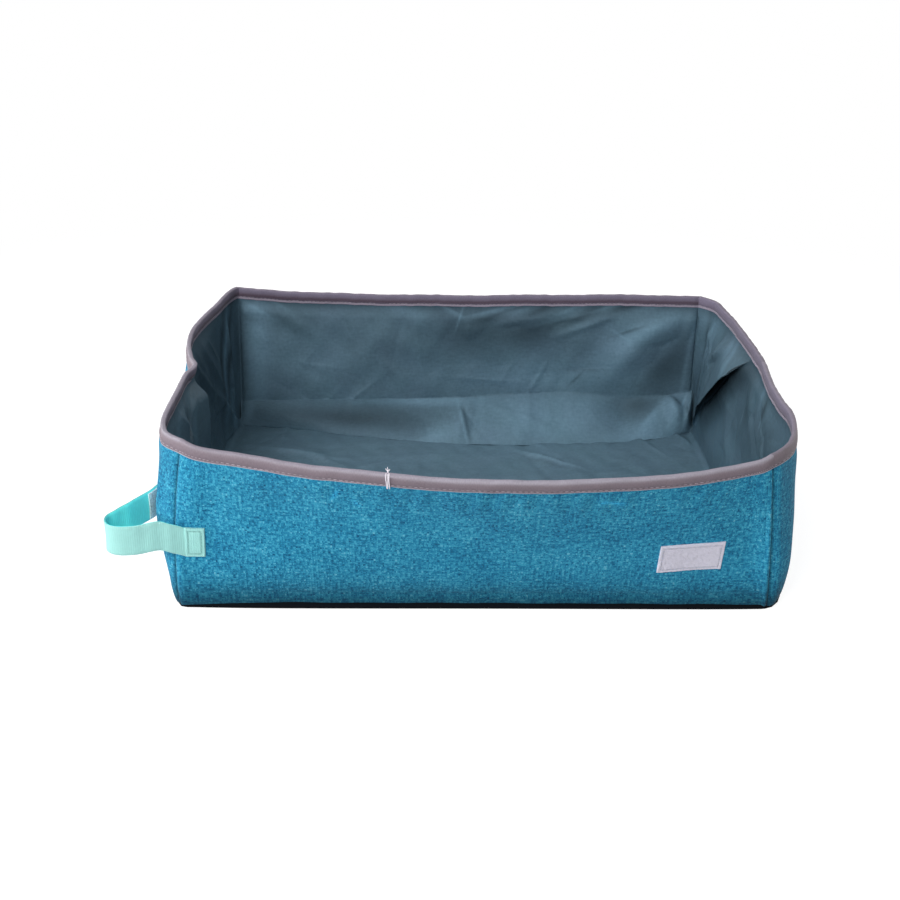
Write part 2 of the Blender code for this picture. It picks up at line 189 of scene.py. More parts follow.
class Finish(Nodes):
    # One material, with a Principled shader whose fixed values are set here
    def __init__(self, name, **fixed):
        self.material = bpy.data.materials.new(name)
        self.material.use_nodes = True
        super().__init__(self.material.node_tree)
        self.shader = self.tree.nodes["Principled BSDF"]
        for socket, value in fixed.items():
            self.shader.inputs[socket.replace("_", " ")].default_value = value

    # Linear blend of two colours
    def blend(self, share, first, second):
        return self.add("ShaderNodeMix", {"data_type": "RGBA"}, {0: share, 6: first, 7: second}, 2)

    # Colour times a grey level
    def shade(self, colour, level):
        grey = self.add("ShaderNodeCombineXYZ", None, {0: level, 1: level, 2: level})
        return self.add("ShaderNodeMix", {"data_type": "RGBA", "blend_type": "MULTIPLY"},
                        {0: 1.0, 6: colour, 7: grey}, 2)

    # The piece's own flat coordinates in metres, stretched by a scale for each direction
    def flat(self, across=1.0, along=1.0):
        base = self.add("ShaderNodeUVMap", {"uv_map": "flat"})
        return self.add("ShaderNodeVectorMath", {"operation": "MULTIPLY"},
                        {0: base, 1: (across, along, 1.0)})

    def noise(self, vector, scale, detail=2.0, roughness=0.5):
        return self.add("ShaderNodeTexNoise", {"noise_dimensions": "3D"},
                        {"Vector": vector, "Scale": scale, "Detail": detail, "Roughness": roughness})

    def attribute(self, name):
        return self.add("ShaderNodeAttribute", {"attribute_name": name}, None, 2)

    def set(self, socket, wire):
        self.tree.links.new(wire.socket, self.shader.inputs[socket])

    def bump(self, height, distance, strength=1.0, under=None):
        sockets = {"Height": height, "Distance": distance, "Strength": strength}
        if under is not None:
            sockets["Normal"] = under
        return self.add("ShaderNodeBump", None, sockets)

    # The material, once its colour and its relief are known
    def done(self, base, normal):
        self.set("Base Color", base)
        self.set("Normal", normal)
        return self.material


def colour(red, green, blue):
    return (red, green, blue, 1.0)


# Heather cloth: a plain weave whose threads change shade along their length
heather = {
    "deep": colour(0.005, 0.058, 0.140),
    "body": colour(0.014, 0.180, 0.325),
    "light": colour(0.042, 0.325, 0.480),
    "pale": colour(0.170, 0.450, 0.570),
    "threadPitch": 0.0017,
    "slub": 0.0050,
    "blotchScale": 38.0,
    "relief": 0.00022,
}


def makeHeatherCloth():
    finish = Finish("heather_cloth", Roughness=0.9, Specular_IOR_Level=0.10, Sheen_Weight=0.05,
                    Sheen_Roughness=0.5)
    pitch = 1 / heather["threadPitch"]
    slub = 1 / heather["slub"]
    weft = finish.noise(finish.flat(slub, pitch), 1.0, 2.0, 0.6)
    warp = finish.noise(finish.flat(pitch, slub), 1.0, 2.0, 0.6)
    across, along = (part.sine() for part in finish.parts(finish.flat(math.pi * pitch, math.pi * pitch)))
    over = (across * along) > 0.0
    thread = over * weft + (1 - over) * warp
    blotch = finish.noise(finish.flat(), heather["blotchScale"], 3.0, 0.6)
    level = thread * 0.80 + blotch * 0.20
    shades = finish.add("ShaderNodeValToRGB", {"stops": [
        (0.30, heather["deep"][:3]), (0.47, heather["body"][:3]),
        (0.60, heather["light"][:3]), (0.74, heather["pale"][:3])]}, {0: level})
    height = (across * across) * (along * along)
    # The tone attribute carries painted shade in the seams and at the foot, and painted light, shade and
    # pale marks on the front
    return finish.done(finish.shade(shades, 1 + finish.attribute("tone")),
                       finish.bump(height + thread, heather["relief"], 0.8))


# Coated liner: satin film over a fine weave, crinkled, a little dulled in patches
linerLook = {
    "body": colour(0.088, 0.156, 0.214),
    "worn": colour(0.148, 0.204, 0.260),
    "dull": colour(0.060, 0.112, 0.160),
    "teal": colour(0.086, 0.172, 0.202),
    "sheen": colour(0.600, 0.800, 1.000),
    "weavePitch": 0.0021,
    "waveScale": 9.0,
    "patchScale": 42.0,
    "tintScale": 30.0,
}


def makeCoatedLiner():
    finish = Finish("coated_liner", Specular_IOR_Level=0.22, Specular_Tint=linerLook["sheen"])
    wave = finish.noise(finish.flat(), linerLook["waveScale"], 3.0, 0.6)
    patchy = finish.noise(finish.flat(), linerLook["patchScale"], 4.0, 0.65)
    pitch = 1 / linerLook["weavePitch"]
    warp = finish.noise(finish.flat(pitch, pitch * 0.55), 1.0, 2.0)
    weft = finish.noise(finish.flat(pitch * 0.45, pitch), 1.0, 2.0)
    grain = warp * 0.45 + weft * 0.55
    tone = finish.blend(wave, linerLook["dull"], linerLook["worn"])
    body = finish.blend(0.45, linerLook["body"], tone)
    tint = finish.noise(finish.flat(), linerLook["tintScale"], 2.0)
    body = finish.blend(tint * 0.5, body, linerLook["teal"])
    level = 0.50 + patchy * 0.40 + grain * 0.60
    finish.set("Roughness", 0.38 + wave * 0.14 + grain * 0.10)
    slow = finish.bump(wave + patchy * 0.22, 0.0030, 0.7)
    # The tone attribute carries painted light and shade: crease highlights and shadows, the shadow under
    # the tape and the shade below fold ridges
    return finish.done(finish.shade(body, level * (1 + finish.attribute("tone"))),
                       finish.bump(grain, 0.00008, 0.6, slow))


# Binding tape: ribbed woven tape, paler at its folded edges, where the pale crest is painted highlight
# Painted shade: the inner leg takes bluer inside colours with a darker pale edge, and the groove colour
# darkens the stitch groove and lower half
tapeLook = {
    "body": colour(0.194, 0.156, 0.182),
    "edge": colour(0.500, 0.490, 0.560),
    "inside": colour(0.185, 0.160, 0.225),
    "insideEdge": colour(0.330, 0.290, 0.360),
    "groove": colour(0.085, 0.058, 0.080),
    "rib": 0.0009,
}


def makeBindingTape():
    finish = Finish("binding_tape", Roughness=0.8, Specular_IOR_Level=0.25, Sheen_Weight=0.1)
    grain = finish.noise(finish.flat(1 / 0.0006, 1 / 0.0018), 1.0, 2.0)
    blotch = finish.noise(finish.flat(), 60.0, 3.0)
    ribs = finish.parts(finish.flat(2 * math.pi / tapeLook["rib"], 1.0))[0].sine()
    worn = finish.attribute("edge")
    inside = finish.attribute("inside")
    leg = finish.blend(inside, tapeLook["body"], tapeLook["inside"])
    edge = finish.blend(inside, tapeLook["edge"], tapeLook["insideEdge"])
    base = finish.blend(worn, leg, edge)
    base = finish.blend(finish.attribute("groove"), base, tapeLook["groove"])
    return finish.done(finish.shade(base, 0.64 + grain * 0.48 + blotch * 0.24),
                       finish.bump(ribs * 0.3 + grain, 0.00014, 0.7))


# Webbing: flat ribbed weave across the strap
# The inside colour is a brighter, bluer copy: painted light for the light that shines through the webbing
# onto its inner face
webbingLook = {
    "outside": colour(0.300, 0.615, 0.580),
    "inside": colour(0.160, 0.960, 0.920),
    "rib": 0.0014,
    "cord": 0.0007,
}


def makeWebbing(name, body):
    finish = Finish(name, Roughness=0.62, Specular_IOR_Level=0.3, Sheen_Weight=0.15)
    weave = finish.flat(2 * math.pi / webbingLook["rib"], 2 * math.pi / webbingLook["cord"])
    ribs, cords = (part.sine() for part in finish.parts(weave))
    grain = finish.noise(finish.flat(900.0, 300.0), 1.0, 2.0)
    broad = finish.noise(finish.flat(), 55.0, 2.0)
    level = 0.80 + grain * 0.16 + ribs * 0.014 + broad * 0.22
    # On the sewn end, the tone attribute carries painted shade along its stitch line
    return finish.done(finish.shade(body, level * (1 + finish.attribute("tone"))),
                       finish.bump(ribs + cords * 0.4 + grain * 0.6, 0.00005, 0.8))


# Colours of the pieces that have one each
plainLooks = {
    # hook: its own pale colour, made brighter as painted light for the light that shines through the strap
    "hook": colour(0.800, 0.940, 0.960),
    "pile": colour(0.585, 0.562, 0.655),
    # dark: near-black, partly the base's own cloth and partly painted shadow along the tray's foot
    "dark": colour(0.004, 0.005, 0.007),
    "foam": colour(0.74, 0.75, 0.77),
    "thread": colour(0.72, 0.68, 0.74),
    "patchThread": colour(0.42, 0.44, 0.58),
    "tapeThread": colour(0.30, 0.25, 0.29),
    "mintThread": colour(0.17, 0.42, 0.40),
}


def makeHookFace():
    finish = Finish("hook_face", Roughness=0.6)
    cells = finish.add("ShaderNodeTexVoronoi", {"feature": "F1"},
                       {"Vector": finish.flat(), "Scale": 1250.0})
    return finish.done(finish.shade(plainLooks["hook"], 1.25 - cells * 0.6),
                       finish.bump(1 - cells, 0.0005, 0.8))


def makeLoopPile():
    finish = Finish("loop_pile", Roughness=0.95, Sheen_Weight=0.3)
    fuzz = finish.noise(finish.flat(), 1500.0, 3.0, 0.7)
    tufts = finish.noise(finish.flat(), 420.0, 2.0)
    level = 0.70 + fuzz * 0.34 + tufts * 0.22
    # The tone attribute lightens the patch a little and carries painted shade along its stitch line
    return finish.done(finish.shade(plainLooks["pile"], level * (1 + finish.attribute("tone"))),
                       finish.bump(fuzz + tufts, 0.0005, 0.8))


def makeThread(name, body):
    finish = Finish(name, Roughness=0.55, Sheen_Weight=0.1)
    ply = finish.noise(finish.flat(2600.0, 2600.0), 1.0, 1.0)
    return finish.done(finish.shade(body, 0.85 + ply * 0.3), finish.bump(ply, 0.0001, 0.6))


def makeDarkCloth():
    finish = Finish("dark_cloth", Roughness=0.95, Specular_IOR_Level=0.05)
    weave = finish.noise(finish.flat(1400.0, 1400.0), 1.0, 2.0)
    broad = finish.noise(finish.flat(), 25.0, 3.0)
    return finish.done(finish.shade(plainLooks["dark"], 0.7 + weave * 0.4 + broad * 0.3),
                       finish.bump(weave + broad, 0.0003, 0.7))


def makeFoam():
    finish = Finish("foam_sheet", Roughness=0.95)
    bubbles = finish.noise(finish.flat(), 900.0, 3.0)
    return finish.done(finish.shade(plainLooks["foam"], 0.8 + bubbles * 0.3),
                       finish.bump(bubbles, 0.0003, 0.6))


looks = {
    "heather": makeHeatherCloth(),
    "liner": makeCoatedLiner(),
    "tape": makeBindingTape(),
    "webbing": makeWebbing("mint_webbing", webbingLook["outside"]),
    "webbingInside": makeWebbing("mint_webbing_inside", webbingLook["inside"]),
    "hook": makeHookFace(),
    "pile": makeLoopPile(),
    "thread": makeThread("pale_thread", plainLooks["thread"]),
    "patchThread": makeThread("patch_thread", plainLooks["patchThread"]),
    "tapeThread": makeThread("mauve_thread", plainLooks["tapeThread"]),
    "mintThread": makeThread("mint_thread", plainLooks["mintThread"]),
    "dark": makeDarkCloth(),
    "foam": makeFoam(),
}
print("materials made:", len(looks))


# ---- Mesh helpers

# A mesh from arrays, with its flat coordinates and any point attributes
def makeMesh(name, points, faces, flat, material, attributes=None):
    mesh = bpy.data.meshes.new(name)
    mesh.from_pydata(points.reshape(-1, 3).tolist(), [], faces)
    layer = mesh.uv_layers.new(name="flat")
    loopPoint = np.zeros(len(mesh.loops), np.int32)
    mesh.loops.foreach_get("vertex_index", loopPoint)
    layer.data.foreach_set("uv", flat.reshape(-1, 2)[loopPoint].astype(np.float32).ravel())
    for key, values in (attributes or {}).items():
        field = mesh.attributes.new(key, "FLOAT", "POINT")
        field.data.foreach_set("value", values.astype(np.float32).ravel())
    mesh.materials.append(material)
    mesh.shade_smooth()
    mesh.set_sharp_from_angle(angle=math.radians(55))
    mesh.update()
    piece = bpy.data.objects.new(name, mesh)
    bpy.context.scene.collection.objects.link(piece)
    return piece


# Quads between neighbouring rows and columns of a grid of point numbers
def gridQuads(numbers, flipped=False):
    a = numbers[:-1, :-1].ravel()
    b = numbers[:-1, 1:].ravel()
    c = numbers[1:, 1:].ravel()
    d = numbers[1:, :-1].ravel()
    order = (a, d, c, b) if flipped else (a, b, c, d)
    return np.stack(order, axis=1).tolist()


# Distance run so far along the rows and columns of a grid, as flat coordinates
def flatOf(points):
    acrossSteps = np.linalg.norm(np.diff(points, axis=1), axis=2).mean(0)
    alongSteps = np.linalg.norm(np.diff(points, axis=0), axis=2).mean(1)
    across = np.concatenate([[0], np.cumsum(acrossSteps)])
    along = np.concatenate([[0], np.cumsum(alongSteps)])
    return np.stack(np.meshgrid(across, along), axis=2)


# A closed sheet: an outer grid, an inner grid, and a strip round all four edges.
# The outer grid's rows run so that across x along points to the outside.
def makeSheet(name, outer, inner, material, attributes=None):
    rows, columns = outer.shape[:2]
    top = np.arange(rows * columns).reshape(rows, columns)
    low = top + rows * columns
    faces = gridQuads(top) + gridQuads(low, True)
    ring = np.concatenate([top[0, :-1], top[:-1, -1], top[-1, :0:-1], top[:0:-1, 0]])
    nextOne = np.roll(ring, -1)
    shift = rows * columns
    faces += np.stack([nextOne, ring, ring + shift, nextOne + shift], axis=1).tolist()
    flat = flatOf(outer)
    both = {key: np.concatenate([v.ravel(), v.ravel()]) for key, v in (attributes or {}).items()}
    points = np.concatenate([outer.reshape(-1, 3), inner.reshape(-1, 3)])
    return makeMesh(name, points, faces, np.concatenate([flat, flat]), material, both)


# A tube with a closed section carried along stations, with flat ends.
# sections has one row for each station and one column for each point of the section.
def makeTube(name, sections, material, attributes=None, closed=False):
    stations, around = sections.shape[:2]
    numbers = np.arange(stations * around).reshape(stations, around)
    wrapped = np.concatenate([numbers, numbers[:, :1]], axis=1)
    if closed:
        wrapped = np.concatenate([wrapped, wrapped[:1]], axis=0)
    faces = gridQuads(wrapped)
    if not closed:
        faces.append(numbers[0, ::-1].tolist())
        faces.append(numbers[-1].tolist())
    return makeMesh(name, sections, faces, flatOf(sections)[:, :, ::-1], material, attributes)


# Smooth waves: a sum of sines with seeded directions, phases and lengths near a size
def waves(first, second, size, seed, count=9):
    draw = np.random.default_rng(seed)
    total = np.zeros(np.broadcast(first, second).shape)
    for _ in range(count):
        angle = draw.uniform(0, 2 * np.pi)
        length = size * draw.uniform(0.6, 1.8)
        phase = draw.uniform(0, 2 * np.pi)
        total += np.sin(2 * np.pi * (first * np.cos(angle) + second * np.sin(angle)) / length + phase)
    return total / math.sqrt(count)


# 0 below a range and 1 above it, with an even ramp between
def smooth(low, high, values):
    share = np.clip((values - low) / (high - low), 0, 1)
    return share * share * (3 - 2 * share)


# A cubic from one point and slope to another, where t runs from 0 to 1
def cubic(t, first, firstSlope, last, lastSlope):
    return ((2 * t**3 - 3 * t**2 + 1) * first + (t**3 - 2 * t**2 + t) * firstSlope
            + (3 * t**2 - 2 * t**3) * last + (t**3 - t**2) * lastSlope)


# Places along and beside a line through a centre, turned by an angle
def turned(place, height, centre, level, angle):
    across, up = place - centre, height - level
    return (across * math.cos(angle) + up * math.sin(angle),
            up * math.cos(angle) - across * math.sin(angle))


# Even steps from one value to another across the columns of a grid
def stepsAcross(first, last, columns, rows):
    return np.linspace(first, last, columns)[None, :] * np.ones((rows, 1))


# A mesh of small solids that are alike: a row of points for each, and the faces of one
def makeRepeats(name, points, faces, material, flipped=False):
    count, size = points.shape[:2]
    order = (0, 2, 1) if flipped else (0, 1, 2)
    every = [[number * size + face[k] for k in order] for number in range(count) for face in faces]
    return makeMesh(name, points, every, points.reshape(-1, 3)[:, [0, 2]], material)


# ---- Shape of the walls

# Each corner: where its seam lies at the rim and at the base, how far it bellies out
# between, and the seam's heading in plan, in degrees from +X
corners = {
    ("front", "left"): {"rim": (-0.1900, -0.1586), "foot": (-0.1990, -0.1575),
                        "belly": (-0.0036, 0.0020), "heading": (-40.0, -45.0)},
    ("front", "right"): {"rim": (0.1740, -0.1684), "foot": (0.1900, -0.1528),
                         "belly": (0.0016, 0.0), "heading": (41.0, 4.0)},
    ("back", "left"): {"rim": (-0.1985, 0.1573), "foot": (-0.1985, 0.1488),
                       "belly": (0.0, 0.0), "heading": (45.0, 45.0)},
    ("back", "right"): {"rim": (0.1972, 0.1573), "foot": (0.1985, 0.1488),
                        "belly": (0.0, 0.0), "heading": (-45.0, -45.0)},
}

# Each wall: its straight line at the rim and base before its corners are rounded,
# how far the middle bows out and sinks at the rim, the shares of its half length that
# round into the corners at the base and rim, and swells (place along, height, sizes,
# turn in degrees, amount outwards)
walls = {
    "front": {
        "side": -1, "long": True,
        "lean": 0.007, "bow": 0.033, "dip": 0.0085,
        "ends": (-0.204, 0.204), "footOut": (0.0088, 0.0030), "rises": [(0.50, 0.24, -0.0010)],
        "round": {-1: (0.05, 0.24), 1: (0.10, 0.31)}, "swellFade": 0.28,
        "swells": [
            (0.035, 0.125, 0.090, 0.036, 0, 0.0085),
            (0.132, 0.125, 0.026, 0.036, 0, 0.0022),
            (-0.120, 0.060, 0.050, 0.030, 0, 0.0012),
            (0.030, 0.045, 0.060, 0.025, 0, -0.0010),
            (0.120, 0.075, 0.040, 0.025, 20, 0.0010),
        ],
    },
    "back": {
        "side": 1, "long": True,
        "lean": 0.007, "bow": 0.002, "dip": 0.002,
        "ends": (-0.200, 0.200), "footOut": (0.0, 0.0),
        "rises": [(-1.0, 0.13, 0.0023), (0.62, 0.36, 0.0030)],
        "round": {-1: (0.04, 0.05), 1: (0.04, 0.05)},
        "swells": [],
    },
    "left": {
        "side": -1, "long": False,
        "lean": 0.0, "bow": 0.0, "dip": 0.0,
        "ends": (-0.157, 0.157), "rises": [(1.0, 0.18, 0.0026)],
        "round": {-1: (0.10, 0.27), 1: (0.07, 0.09)},
        "rimAt": (0.2030, 0.2000),
        "swells": [
            (0.054, 0.112, 0.055, 0.062, 0, 0.0164),
            (-0.026, 0.122, 0.0075, 0.013, 0, -0.0042),
            (-0.013, 0.122, 0.015, 0.014, 0, -0.0024),
            (-0.112, 0.060, 0.042, 0.048, 0, 0.0112),
            (-0.024, 0.076, 0.042, 0.026, 0, 0.0070),
            (0.060, 0.040, 0.045, 0.040, 0, 0.0060),
        ],
    },
    "right": {
        "side": 1, "long": False,
        "lean": 0.0, "bow": 0.0, "dip": 0.0,
        "ends": (-0.157, 0.157), "rises": [(1.0, 0.18, 0.0020)],
        "round": {-1: (0.12, 0.43), 1: (0.07, 0.09)},
        "rimAt": (0.2040, 0.2000),
        "swells": [
            (0.110, 0.118, 0.044, 0.050, 0, 0.0108),
            (0.018, 0.122, 0.046, 0.040, 0, 0.0105),
            (-0.105, 0.022, 0.048, 0.045, 0, 0.0062),
            (-0.118, 0.088, 0.030, 0.035, 0, 0.0026),
        ],
    },
}

# Folds of the end walls, each a line from a top to a foot, pushed inwards: gently on
# one side of the line and steeply on the other. "over" is how far the ridge leans past
# its steep side. The liner has sharper folds of its own.
wallFolds = {
    "right": [
        {"top": (0.013, 0.126), "foot": (0.128, 0.006), "gentleSide": (1, 1),
         "inwards": 0.0040, "gentle": 0.030, "steep": 0.012, "over": 0.0},
        {"top": (-0.036, 0.126), "foot": (-0.135, 0.010), "gentleSide": (-1, 1),
         "inwards": 0.0015, "gentle": 0.018, "steep": 0.010, "over": 0.0},
    ],
    "left": [
        {"top": (0.030, 0.126), "foot": (0.135, 0.006), "gentleSide": (1, 1),
         "inwards": 0.0040, "gentle": 0.022, "steep": 0.010, "over": 0.0},
        {"top": (-0.040, 0.126), "foot": (-0.135, 0.010), "gentleSide": (-1, 1),
         "inwards": 0.0015, "gentle": 0.018, "steep": 0.010, "over": 0.0},
    ],
}
# Liner folds with dark, darkReach and darkTo paint shade below their ridge: how dark, how far it reaches,
# and the share of the line it covers
linerFolds = {
    "right": [
        {"top": (0.012, 0.1225), "foot": (0.122, 0.016), "gentleSide": (1, 1), "bend": 0.0110,
         "inwards": 0.0140, "gentle": 0.034, "steep": 0.0026, "over": 0.0100, "dark": 0.97,
         "darkReach": (0.020, 0.0245), "darkTo": 0.86},
        {"top": (-0.030, 0.118), "foot": (-0.100, 0.040), "gentleSide": (-1, 1),
         "inwards": 0.0030, "gentle": 0.014, "steep": 0.004, "over": 0.0},
        {"top": (0.070, 0.116), "foot": (0.128, 0.070), "gentleSide": (1, 1),
         "inwards": 0.0030, "gentle": 0.012, "steep": 0.004, "over": 0.0},
    ],
    "left": [
        {"top": (-0.026, 0.130), "foot": (-0.028, 0.026), "gentleSide": (-1, 0),
         "inwards": 0.0150, "gentle": 0.024, "steep": 0.0026, "over": 0.0060, "dark": 0.8},
        {"top": (-0.072, 0.116), "foot": (-0.058, 0.030), "gentleSide": (-1, 0),
         "inwards": 0.0035, "gentle": 0.010, "steep": 0.004, "over": 0.0015},
        {"top": (0.060, 0.116), "foot": (0.120, 0.030), "gentleSide": (1, 1),
         "inwards": 0.0030, "gentle": 0.012, "steep": 0.006, "over": 0.0},
    ],
    "front": [],
    "back": [],
}


# The push of a fold starts and is full at these distances below the rim
foldWindow = (0.004, 0.026)

# Light and shade painted on the cloth beside its relief, as the photograph shows them:
# highlights and shadows of creases and folds, shaded hollows, and on the front a few pale
# marks: place along, height, length, width above and below its line, turn in degrees, amount
shadingAndMarks = {
    "front": [
        (-0.095, 0.094, 0.0040, 0.0005, 0.0014, 62, 0.8),
        (-0.081, 0.088, 0.0035, 0.0005, 0.0014, -48, 0.7),
        (0.077, 0.0935, 0.0070, 0.0005, 0.0014, -8, 0.9),
        (0.070, 0.0948, 0.0030, 0.0005, 0.0012, 40, 0.6),
        (0.000, 0.100, 0.1100, 0.0100, 0.0140, 0, -0.08),
        (-0.185, 0.070, 0.0200, 0.0500, 0.0500, 0, 0.12),
    ],
    "back": [
        (-0.140, 0.074, 0.050, 0.026, 0.026, -45, 0.20),
        (-0.005, 0.080, 0.030, 0.020, 0.018, -30, -0.30),
        (-0.055, 0.106, 0.022, 0.006, 0.006, -19, 0.30),
        (-0.016, 0.1065, 0.010, 0.0010, 0.0030, -26, 0.50),
        (0.022, 0.1080, 0.022, 0.0010, 0.0030, 14, 0.50),
        (0.022, 0.1030, 0.022, 0.0020, 0.0040, 14, -0.30),
        (-0.0085, 0.1015, 0.012, 0.0009, 0.0009, 73, 0.55),
        (0.042, 0.1080, 0.014, 0.0010, 0.0040, 15, 0.45),
        (0.087, 0.1105, 0.012, 0.0010, 0.0040, 23, 0.40),
        (0.118, 0.1125, 0.010, 0.0010, 0.0040, 22, 0.35),
        (0.156, 0.1140, 0.012, 0.0010, 0.0040, 15, 0.35),
        (0.060, 0.1080, 0.014, 0.0030, 0.0030, 20, -0.35),
        (0.103, 0.1090, 0.012, 0.0030, 0.0030, 20, -0.30),
        (0.135, 0.1130, 0.012, 0.0030, 0.0030, 20, -0.30),
        (0.099, 0.1040, 0.038, 0.0015, 0.0060, 15, -0.38),
        (0.091, 0.0910, 0.030, 0.0100, 0.0120, 28, 0.24),
        (0.157, 0.0950, 0.026, 0.0070, 0.0080, 28, 0.50),
        (0.138, 0.0930, 0.014, 0.0009, 0.0018, 21, -0.50),
        (0.130, 0.0885, 0.008, 0.0009, 0.0012, -30, 0.40),
        (0.172, 0.0620, 0.036, 0.0120, 0.0240, 52, -0.58),
        (0.079, 0.0480, 0.055, 0.0160, 0.0120, 0, 0.20),
        (0.055, 0.0820, 0.040, 0.0120, 0.0120, 0, -0.28),
        (0.0935, 0.049, 0.008, 0.0008, 0.0018, 47, -0.55),
        (0.105, 0.0575, 0.020, 0.0008, 0.0020, 3, -0.28),
        (-0.180, 0.1050, 0.014, 0.0012, 0.0030, -29, 0.35),
        (-0.160, 0.1080, 0.012, 0.0012, 0.0030, -30, 0.30),
        (-0.185, 0.0960, 0.012, 0.0040, 0.0040, -30, -0.25),
        (-0.194, 0.0600, 0.050, 0.0030, 0.0030, 90, -0.30),
        (-0.182, 0.0680, 0.050, 0.0100, 0.0100, 90, 0.72),
        (0.050, 0.0920, 0.060, 0.0140, 0.0120, 0, -0.28),
        (-0.152, 0.0980, 0.026, 0.0160, 0.0160, 0, -0.34),
        (0.128, 0.0740, 0.022, 0.0180, 0.0160, 50, 0.45),
        (0.020, 0.1120, 0.180, 0.0160, 0.0140, 0, -0.20),
        (0.040, 0.0560, 0.150, 0.0180, 0.0160, 0, 0.12),
        (0.045, 0.0480, 0.060, 0.0120, 0.0120, 0, 0.26),
        (0.190, 0.0700, 0.045, 0.0020, 0.0020, 85, 0.30),
    ],
    "left": [
        (0.060, 0.070, 0.080, 0.060, 0.060, 0, -0.46),
        (0.124, 0.080, 0.050, 0.0028, 0.0028, 68, 0.70),
        (0.134, 0.080, 0.055, 0.0030, 0.0030, 68, -0.50),
        (0.114, 0.080, 0.055, 0.0040, 0.0040, 68, -0.45),
        (0.122, 0.020, 0.014, 0.0050, 0.0050, 80, 0.60),
        (-0.080, 0.090, 0.022, 0.0050, 0.0040, 80, 0.35),
        (-0.046, 0.080, 0.026, 0.0050, 0.0030, 84, 0.40),
        (-0.062, 0.084, 0.022, 0.0040, 0.0050, 84, -0.35),
        (-0.110, 0.110, 0.030, 0.0060, 0.0060, 10, -0.30),
        (0.002, 0.050, 0.020, 0.0120, 0.0100, -50, -0.80),
    ],
    "right": [
        (0.000, 0.060, 0.160, 0.100, 0.100, 0, -0.16),
        (0.126, 0.080, 0.050, 0.0060, 0.0050, 77, 0.22),
        (0.139, 0.075, 0.050, 0.0024, 0.0024, 80, -0.45),
        (0.064, 0.100, 0.024, 0.0034, 0.0050, 52, 0.45),
        (0.080, 0.106, 0.018, 0.0030, 0.0050, 60, 0.30),
        (0.100, 0.090, 0.030, 0.0050, 0.0050, 70, -0.20),
        (-0.030, 0.104, 0.011, 0.0040, 0.0040, 62, 0.45),
        (-0.046, 0.100, 0.009, 0.0050, 0.0040, 75, -0.45),
        (-0.044, 0.091, 0.005, 0.0010, 0.0010, 88, 0.80),
        (0.004, 0.072, 0.005, 0.0010, 0.0010, 70, 0.60),
        (-0.002, 0.086, 0.020, 0.0080, 0.0120, 55, -0.30),
        (-0.108, 0.113, 0.003, 0.0020, 0.0020, 20, -0.85),
        (0.020, 0.040, 0.050, 0.0160, 0.0180, -6, 0.45),
        (-0.070, 0.080, 0.030, 0.0100, 0.0100, 40, -0.18),
    ],
    "ramp": [
        (-0.098, 0.018, 0.072, 0.0150, 0.0130, 0, -0.66),
        (-0.040, 0.037, 0.042, 0.0060, 0.0045, 0, 0.75),
        (0.035, 0.018, 0.055, 0.0240, 0.0240, 0, 0.30),
        (-0.028, 0.006, 0.022, 0.0090, 0.0100, 28, 0.50),
        (-0.0045, 0.016, 0.019, 0.0009, 0.0012, 102, 0.55),
        (-0.0015, 0.016, 0.019, 0.0010, 0.0020, 102, -0.40),
        (0.085, 0.022, 0.040, 0.0180, 0.0160, 0, 0.22),
        (0.147, 0.032, 0.019, 0.0100, 0.0130, 0, -0.62),
        (0.090, 0.016, 0.110, 0.0300, 0.0300, 0, 0.22),
        (0.161, 0.022, 0.014, 0.0024, 0.0070, 48, 0.60),
        (0.180, 0.026, 0.014, 0.0090, 0.0120, 80, 0.55),
        (0.183, 0.031, 0.008, 0.0014, 0.0018, -50, -0.80),
        (0.195, 0.012, 0.011, 0.0016, 0.0018, -72, -0.85),
        (0.189, 0.029, 0.008, 0.0010, 0.0012, 70, 0.60),
        (-0.190, 0.020, 0.020, 0.0040, 0.0040, 85, 0.35),
        (0.155, 0.004, 0.035, 0.0120, 0.0100, 0, 0.45),
    ],
    "base": [
        (0.067, 0.074, 0.028, 0.0010, 0.0030, -36, 0.45),
        (0.064, 0.068, 0.020, 0.0020, 0.0030, -36, -0.25),
        (0.060, 0.100, 0.008, 0.0012, 0.0020, -40, 0.35),
        (-0.140, 0.078, 0.036, 0.0015, 0.0060, -16, 0.30),
        (0.165, 0.060, 0.060, 0.0400, 0.0400, 0, -0.06),
        (0.050, 0.095, 0.120, 0.0300, 0.0600, 0, 0.18),
    ],
}


shadingLimits = (-0.92, 1.2)


# Sum of the painted light and shade, and the pale marks, of a piece at places and heights
def shadingAndMarksAt(key, place, height):
    total = np.zeros(np.broadcast(place, height).shape)
    for centre, level, length, above, below, turn, amount in shadingAndMarks[key]:
        a, b = turned(place, height, centre, level, math.radians(turn))
        total += amount * np.exp(-((a / length) ** 2) - (b / np.where(b > 0, above, below)) ** 2)
    return np.clip(total, *shadingLimits)


